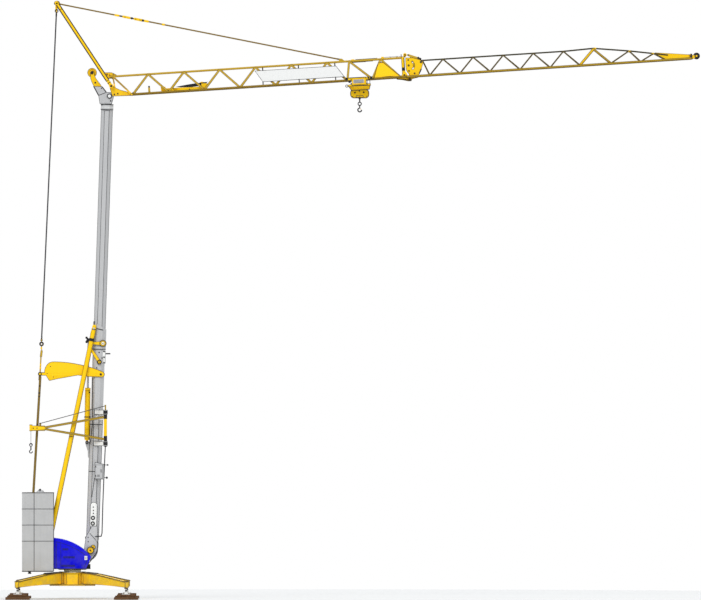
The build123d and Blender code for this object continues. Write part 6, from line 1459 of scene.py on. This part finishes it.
wedge = [(175.5, 86.9), (184, 85.2), (191.4, 83.9), (200, 82.8), (207.8, 81.8)]
wedge += [(205.4, 84.4), (200, 86), (191.4, 87.1), (180, 87.4)]
rope_guard = new_piece("winch_rope_guard", "upper_mast", "dark_steel", JIB, 0.002)
flat_plate(rope_guard, outline_seen(wedge, seen_on_jib), -0.184, -0.172)
bed_ends = new_piece("winch_bed_ends", "upper_mast", "yellow_paint", JIB, 0.006)
for column, row_low, row_high, reach in ((163.4, 90.6, 86.8, 0.1), (204.5, 88.6, 83.4, 0.12)):
    low, high = seen_on_jib(column, row_low), seen_on_jib(column, row_high)
    slab(bed_ends, (low.x - reach, -0.2, low.z), (low.x + reach, -0.172, high.z))
bed_bolts = new_piece("winch_bed_bolts", "upper_mast", "dark_steel", JIB, 0.002)
for column, row in ((168, 90), (173.6, 88.6), (189.7, 89.3), (203.4, 88), (207.6, 84)):
    disc(bed_bolts, seen_on_jib(column, row), 0.024, -1, 0.17, 0.214, 16)


# Panel: plain face, thin frame, clips to the chords

panel_frame = new_piece("panel_frame", "upper_mast", "dark_steel", JIB)
panel_face = [(5.241, -0.178, 0.66), (5.55, -0.466, 0.176)]
panel_face += [(9.02, -0.47, 0.17), (8.69, -0.185, 0.648)]
bent_bar(panel_frame, [*panel_face, panel_face[0]], 0.009, 8)
for column, row in ((262.7, 69.7), (298.5, 68.3), (334.9, 66.1)):
    u = seen_on_jib(column, row).x
    square_bar(panel_frame, (u, -0.05, 0.765), (u, -0.185, 0.645), 0.05, 0.03)
for column, row in ((263.1, 83.3), (299.3, 81.5), (335.7, 79.4)):
    u = seen_on_jib(column, row).x
    square_bar(panel_frame, (u, -0.473, 0.19), (u, -0.515, 0.046), 0.045, 0.02)


# End of the inner jib: roller, gussets, clamp bars, dark strips of painted shade and the fold's pin
# heads

ROLLER_HALF = 0.3
END_FACE = 0.455
end_roller = new_piece("end_roller", "upper_mast", "yellow_paint", JIB, 0.003)
end_fittings = new_piece("end_frame_fittings", "upper_mast", "dark_steel", JIB, 0.002)
# Dark strips on the end frame's faces: painted shade.
end_shade_strips = new_piece("end_frame_shade_strips", "upper_mast", "yellow_paint", JIB, material=shade_bead_brown)
roller_spot = seen_on_jib(404.9, 54.9)
disc(end_roller, roller_spot, 0.078, 1, -ROLLER_HALF, ROLLER_HALF)
disc(end_fittings, roller_spot, 0.034, 1, -0.325, 0.325, 16)
foot_gusset = [(397.6, 78.9), (400.8, 77), (403.3, 73.2), (405.9, 71.9), (407.6, 75.2), (407.4, 78.6)]
for side in SIDES:
    flat_plate(end_roller, outline_seen(foot_gusset, seen_on_jib), *across(side, 0.456, 0.466))
    disc(end_fittings, seen_on_jib(404.3, 75.1), 0.04, side, 0.46, 0.476, 20)
    for shape, u_low, u_high, y, half, low, high in (
        (end_fittings, 11.47, 11.5, ROLLER_HALF, 0.012, 0.8, 0.97),
        (end_fittings, 11.47, 11.66, ROLLER_HALF, 0.012, 0.83, 0.87),
        (end_fittings, 11.481, 11.609, 0.459, 0.01, 0.27, 0.4),
        (end_shade_strips, 11.572, 11.604, END_FACE, 0.006, 0.4, 0.8),
    ):
        slab(shape, (u_low, side * y - half, low), (u_high, side * y + half, high))
    lower_bar = [seen_on_jib(396.8, 79.2, side * 0.452), seen_on_jib(409, 80, side * 0.452)]
    bent_bar(end_fittings, lower_bar, 0.012, 8)
    pin_head(end_fittings, (11.79, side * 0.464, -0.125), (0, side, 0), 0.055, 0.03)


# Fold hinge: slotted plates, link with its slider, pins and bolts

def pierced_plate(shape, outline, opening, y_low, y_high):
    """A flat plate across Y with one opening cut through it."""
    edges = []
    for loop in (outline, opening):
        corners = [shape.verts.new((point.x, y_low, point.z)) for point in loop]
        edges += [shape.edges.new(pair) for pair in zip(corners, corners[1:] + corners[:1])]
    filled = bmesh.ops.triangle_fill(shape, use_beauty=True, use_dissolve=False, edges=edges)
    faces = [part for part in filled["geom"] if isinstance(part, bmesh.types.BMFace)]
    thicken(shape, faces, ACROSS * (y_high - y_low))


def arc_points(centre, radius, angles):
    """Points of an upright arc, at angles in degrees from the frame's first axis."""
    turns = [math.radians(angle) for angle in angles]
    return [centre + Vector((math.cos(turn), 0, math.sin(turn))) * radius for turn in turns]


PLATE_INNER, PLATE_OUTER, LINK_Y = 0.432, 0.455, 0.444
SLOT_OUTER, SLOT_INNER = 0.245, 0.18
hinge_rows = [(405.6, 58), (412.5, 57.9), (419.8, 59.8), (422.7, 61.8), (422.8, 63.4), (421.6, 68.4)]
hinge_rows += [(419.4, 73.4), (417.9, 77.4), (412.4, 78.6), (411.1, 80.6), (408.3, 80.6), (408, 78.4)]
hinge_rows += [(409.6, 76.6), (409, 73.6), (407.2, 71.7), (406.3, 69.5), (405.8, 65.2)]
hinge_outline = [seen_on_jib(column, row) for column, row in hinge_rows]
slot_middle = seen_on_jib(409, 65.6)
slot_angles = range(-54, 55, 18)
slot_edge = arc_points(slot_middle, SLOT_OUTER, slot_angles)
slot_edge += arc_points(slot_middle, SLOT_INNER, reversed(slot_angles))
slider = slot_middle + Vector(((SLOT_OUTER + SLOT_INNER) / 2 - 0.0005, 0, 0))
link_low, link_high = seen_on_jib(407.9, 55), seen_on_jib(420.2, 59)
solid_plates = ("fold_hinge_plates",)
hinge_plates = new_piece("hinge_plates", "jib_tip", "yellow_paint", JIB, replaced=solid_plates)
# Dark beads round the hinge plates and their slot: painted shade along the edges; the discs share that
# dark finish.
hinge_edge_shade = new_piece("hinge_plate_edge_shade", "jib_tip", "yellow_paint", JIB, material=shade_bead_brown)
hinge_link = new_piece("hinge_link", "jib_tip", "yellow_paint", JIB, 0.004, lattice_yellow)
hinge_pins = new_piece("hinge_pins", "jib_tip", "dark_steel", JIB, 0.003)
for side in SIDES:
    pierced_plate(hinge_plates, hinge_outline, slot_edge, *across(side, PLATE_INNER, PLATE_OUTER))
    face = ACROSS * side * PLATE_OUTER
    for loop, radius in ((hinge_outline, 0.01), (slot_edge, 0.009)):
        bent_bar(hinge_edge_shade, [point + face for point in (*loop, loop[0])], radius, 6)
    edge_discs = ((408.2, 60.1, 0.036), (408.6, 65.5, 0.046), (414.6, 73.4, 0.04))
    discs_seen(hinge_edge_shade, edge_discs, side, 0.45, 0.465, 24, seen_on_jib)
    stop_bar = [seen_on_jib(421.3, 69) + face, seen_on_jib(419.2, 73.6) + face]
    bent_bar(hinge_pins, stop_bar, 0.026, 8)
    offset = ACROSS * side * LINK_Y
    square_bar(hinge_link, link_low + offset, link_high + offset, 0.022, 0.085)
    for foot in (seen_on_jib(410.7, 57.6), seen_on_jib(417, 59.6)):
        y_low, y_high = across(side, 0.435, 0.453)
        low, high = (foot.x - 0.035, y_low, foot.z - 0.03), (foot.x + 0.035, y_high, foot.z + 0.07)
        slab(hinge_link, low, high)
    block(hinge_link, slider + ACROSS * side * 0.44, (0.035, 0.006, 0.1))
    for spot, radius, near, far, steps in (
        (seen_on_jib(409, 71), 0.036, 0.45, 0.468, 24),
        (link_high, 0.05, 0.425, 0.468, 24),
        (seen_on_jib(418.3, 57.9), 0.045, 0.425, 0.468, 24),
        (link_low, 0.03, 0.425, 0.466, 20),
        (seen_on_jib(420.9, 62.1), 0.048, 0.43, 0.47, 24),
    ):
        disc(hinge_pins, spot, radius, side, near, far, steps)
block(hinge_plates, (12.035, 0, 0.6), (0.06, PLATE_INNER, 0.06))


# Outer jib: heavy bars at its peak, tip plates and sheave

PEAK_DEPTH = 0.695
PEAK = (19.655, 0.66)
TIP_WHEEL = Vector((24.01, 0, 0.09))
peak_bars = new_piece("peak_bars", "jib_tip", "yellow_paint", JIB, 0.006)
second_bars = new_piece("peak_second_bars", "jib_tip", "yellow_paint", JIB, 0.006, lattice_yellow)
# Dark beads along both edges of each peak bar: painted shade at their edges.
bar_edge_shade = new_piece("peak_bar_edge_shade", "jib_tip", "yellow_paint", JIB, material=shade_bead_brown)
node_caps = new_piece("peak_node_caps", "jib_tip", "yellow_paint", JIB, 0.006)
tip_fittings = new_piece("tip_fittings", "jib_tip", "dark_steel", JIB, 0.003)
tip_bolts = new_piece("tip_bolts", "jib_tip", "yellow_paint", JIB, 0.002)
tip_wheel = new_piece("tip_wheel", "jib_tip", "dark_steel", JIB, replaced=("jib_tip_sheave",))
for side in SIDES:
    for shape, foot_u, width, depth in (
        (peak_bars, 19.055, 0.066, 0.084),
        (second_bars, 20.337, 0.056, 0.064),
    ):
        low, high = (on_side(u, v, side, 0.004, PEAK_DEPTH) for u, v in ((foot_u, 0.03), PEAK))
        square_bar(shape, low, high, width, depth)
        edge = (high - low).cross(ACROSS).normalized() * depth * 0.5
        for offset in (edge + ACROSS * side * 0.02, ACROSS * side * 0.02 - edge):
            rod(bar_edge_shade, low + offset, high + offset, 0.016, 8)
    disc(tip_fittings, TIP_WHEEL, 0.085, side, 0.051, 0.062)
    disc(tip_bolts, TIP_WHEEL, 0.04, side, 0.062, 0.072, 20)
    slab(tip_fittings, (23.73, side * 0.058 - 0.007, -0.03), (23.83, side * 0.058 + 0.007, 0.2))
    for v in (0.16, 0.01):
        bolt(tip_bolts, (23.76, side * 0.065, v), (0, side, 0), 0.018)
for column, row in ((595, 48.6), (629.7, 51.6), (652.8, 53.8)):
    spot = seen_on_jib(column, row)
    rod(node_caps, spot + ACROSS * 0.05, spot - ACROSS * 0.05, 0.052, 20)
sheave(tip_wheel, TIP_WHEEL, 0.145, 0.046, 0.021, 0.022, 48)


# Trolley: louvred window in its side plates, rails, rollers, bolts and the hook for its rope

WINDOW_Y = 0.6215
TROLLEY_FACE = 0.615
frames = new_piece("trolley_window_frames", "trolley", "yellow_paint", JIB, 0.004)
panes = new_piece("trolley_window_panes", "trolley", "grey_paint", JIB, 0.003)
trolley_fittings = new_piece("trolley_fittings", "trolley", "dark_steel", JIB, 0.002)
low, high = seen_on_jib(353.4, 83.6), seen_on_jib(363.9, 79.2)
middle = (low + high) / 2
for side in SIDES:
    y_low, y_high = across(side, TROLLEY_FACE, 0.628)
    pane_back = y_high - 0.004 if side > 0 else y_high
    slab(panes, (low.x, y_low, low.z), (high.x, pane_back, high.z))
    y_low, y_high = y_low - 0.004, y_high + 0.004
    for row in (78.5, 84.2):
        level = seen_on_jib(358.7, row).z
        slab(frames, (low.x - 0.055, y_low, level - 0.018), (high.x + 0.055, y_high, level + 0.018))
    for u in (low.x - 0.035, high.x + 0.035):
        slab(frames, (u - 0.022, y_low, low.z - 0.02), (u + 0.022, y_high, high.z + 0.02))
    for level in (low.z + 0.03, middle.z, high.z - 0.03):
        spot = (middle.x, side * WINDOW_Y, level)
        block(trolley_fittings, spot, ((high.x - low.x) / 2 - 0.03, 0.0085, 0.008))
    for start, end, y, radius in (
        ((351.6, 85.3), (368.2, 85.1), 0.622, 0.017),
        ((348.8, 78.1), (366.4, 77.2), 0.618, 0.018),
        ((350.9, 79.6), (350.9, 84.4), 0.618, 0.013),
        ((367.2, 79.6), (367.2, 84.4), 0.618, 0.013),
        ((369.9, 79.6), (369.9, 84.4), 0.618, 0.013),
    ):
        ends = [seen_on_jib(*start, side * y), seen_on_jib(*end, side * y)]
        bent_bar(trolley_fittings, ends, radius, 8)
    rollers_seen = ((346.6, 79, 0.055), (349.4, 81.8, 0.045), (371.2, 78.1, 0.055), (368.4, 78, 0.04))
    discs_seen(trolley_fittings, rollers_seen, side, 0.612, 0.645, 24, seen_on_jib)
    plate_bolts = ((351.6, 83.6), (366.4, 83.4), (351.8, 79.4), (366, 79))
    bolts_seen(trolley_fittings, plate_bolts, side, TROLLEY_FACE, 0.02, seen_on_jib)
ROPE_HOOK_Y = -0.6
rope_hook, hook_root, hook_end = (
    seen_on_jib(column, row, ROPE_HOOK_Y) for column, row in ((346.8, 86.2), (347.6, 85.4), (352, 84.9))
)
collar(trolley_fittings, rope_hook, ACROSS, 0.034, 0.062, -0.014, 0.014)
bent_bar(trolley_fittings, [hook_root, hook_end], 0.016, 8)

# Hook block and hook: pins and bolts of the cheeks, swivel, forging and its latch

HOOK_X = 12.206
HOOK_CENTRE = Vector((HOOK_X, 0, 20.783))
CHEEK_FACE = 0.075
block_fittings = new_piece("block_fittings", "hook_block", "dark_steel", bevel=0.002)
hook_forging = new_piece("hook_forging", "hook", "dark_steel", replaced=("load_hook",))
hook_latch = new_piece("hook_latch", "hook", "dark_steel", bevel=0.002, material=lattice_yellow)
softened_copy("hook_block", "hook_block", "yellow_paint", 0.006, 50)
cheek_pins = ((354.9, 92.6, 0.036), (363.8, 92.3, 0.036), (359.3, 91, 0.028))
for side in SIDES:
    discs_seen(block_fittings, cheek_pins, side, CHEEK_FACE, 0.092, 20)
    for x, z in ((11.9, 21.36), (12.51, 21.36), (HOOK_X, 21.34)):
        bolt(block_fittings, (x, side * CHEEK_FACE, z), (0, side, 0), 0.018)
for shape, high, low, radius, sides in (
    (block_fittings, 21.33, 21.27, 0.06, 24),
    (block_fittings, 21.272, 21.235, 0.05, 6),
    (hook_forging, 21.31, 21.12, 0.027, 16),
    (hook_forging, 20.962, 20.87, 0.026, 16),
):
    rod(shape, (HOOK_X, 0, high), (HOOK_X, 0, low), radius, sides)
collar(hook_forging, (HOOK_X, 0, 21.16), UP, 0.002, 0.03, -0.02, 0.02, 20)
collar(hook_forging, (HOOK_X, 0, 21.045), ACROSS, 0.046, 0.09, -0.028, 0.028, 36)
bent_bar(hook_forging, arc_points(HOOK_CENTRE, 0.079, range(90, 361, 15)), 0.027, 12)
square_bar(hook_latch, (12.272, 0, 20.79), (12.222, 0, 20.862), 0.03, 0.022)


# Hoist falls: they lengthen as the block goes down

FALL_TOP, FALL_FOOT = Vector((HOOK_X, 0, 21.795)), Vector((HOOK_X, 0, 21.495))
strands = bmesh.new()
for pulley in (-0.189, 0.189):
    for reach in (-0.118, 0.118):
        aside = Vector((pulley + reach, 0, 0))
        rod(strands, FALL_TOP + aside, FALL_FOOT + aside, 0.008, 10)
strand_piece("hoist_falls_strands", "hoist_falls", strands, 8, FALL_TOP, FALL_FOOT)

for piece in pieces:
    finish_piece(*piece)
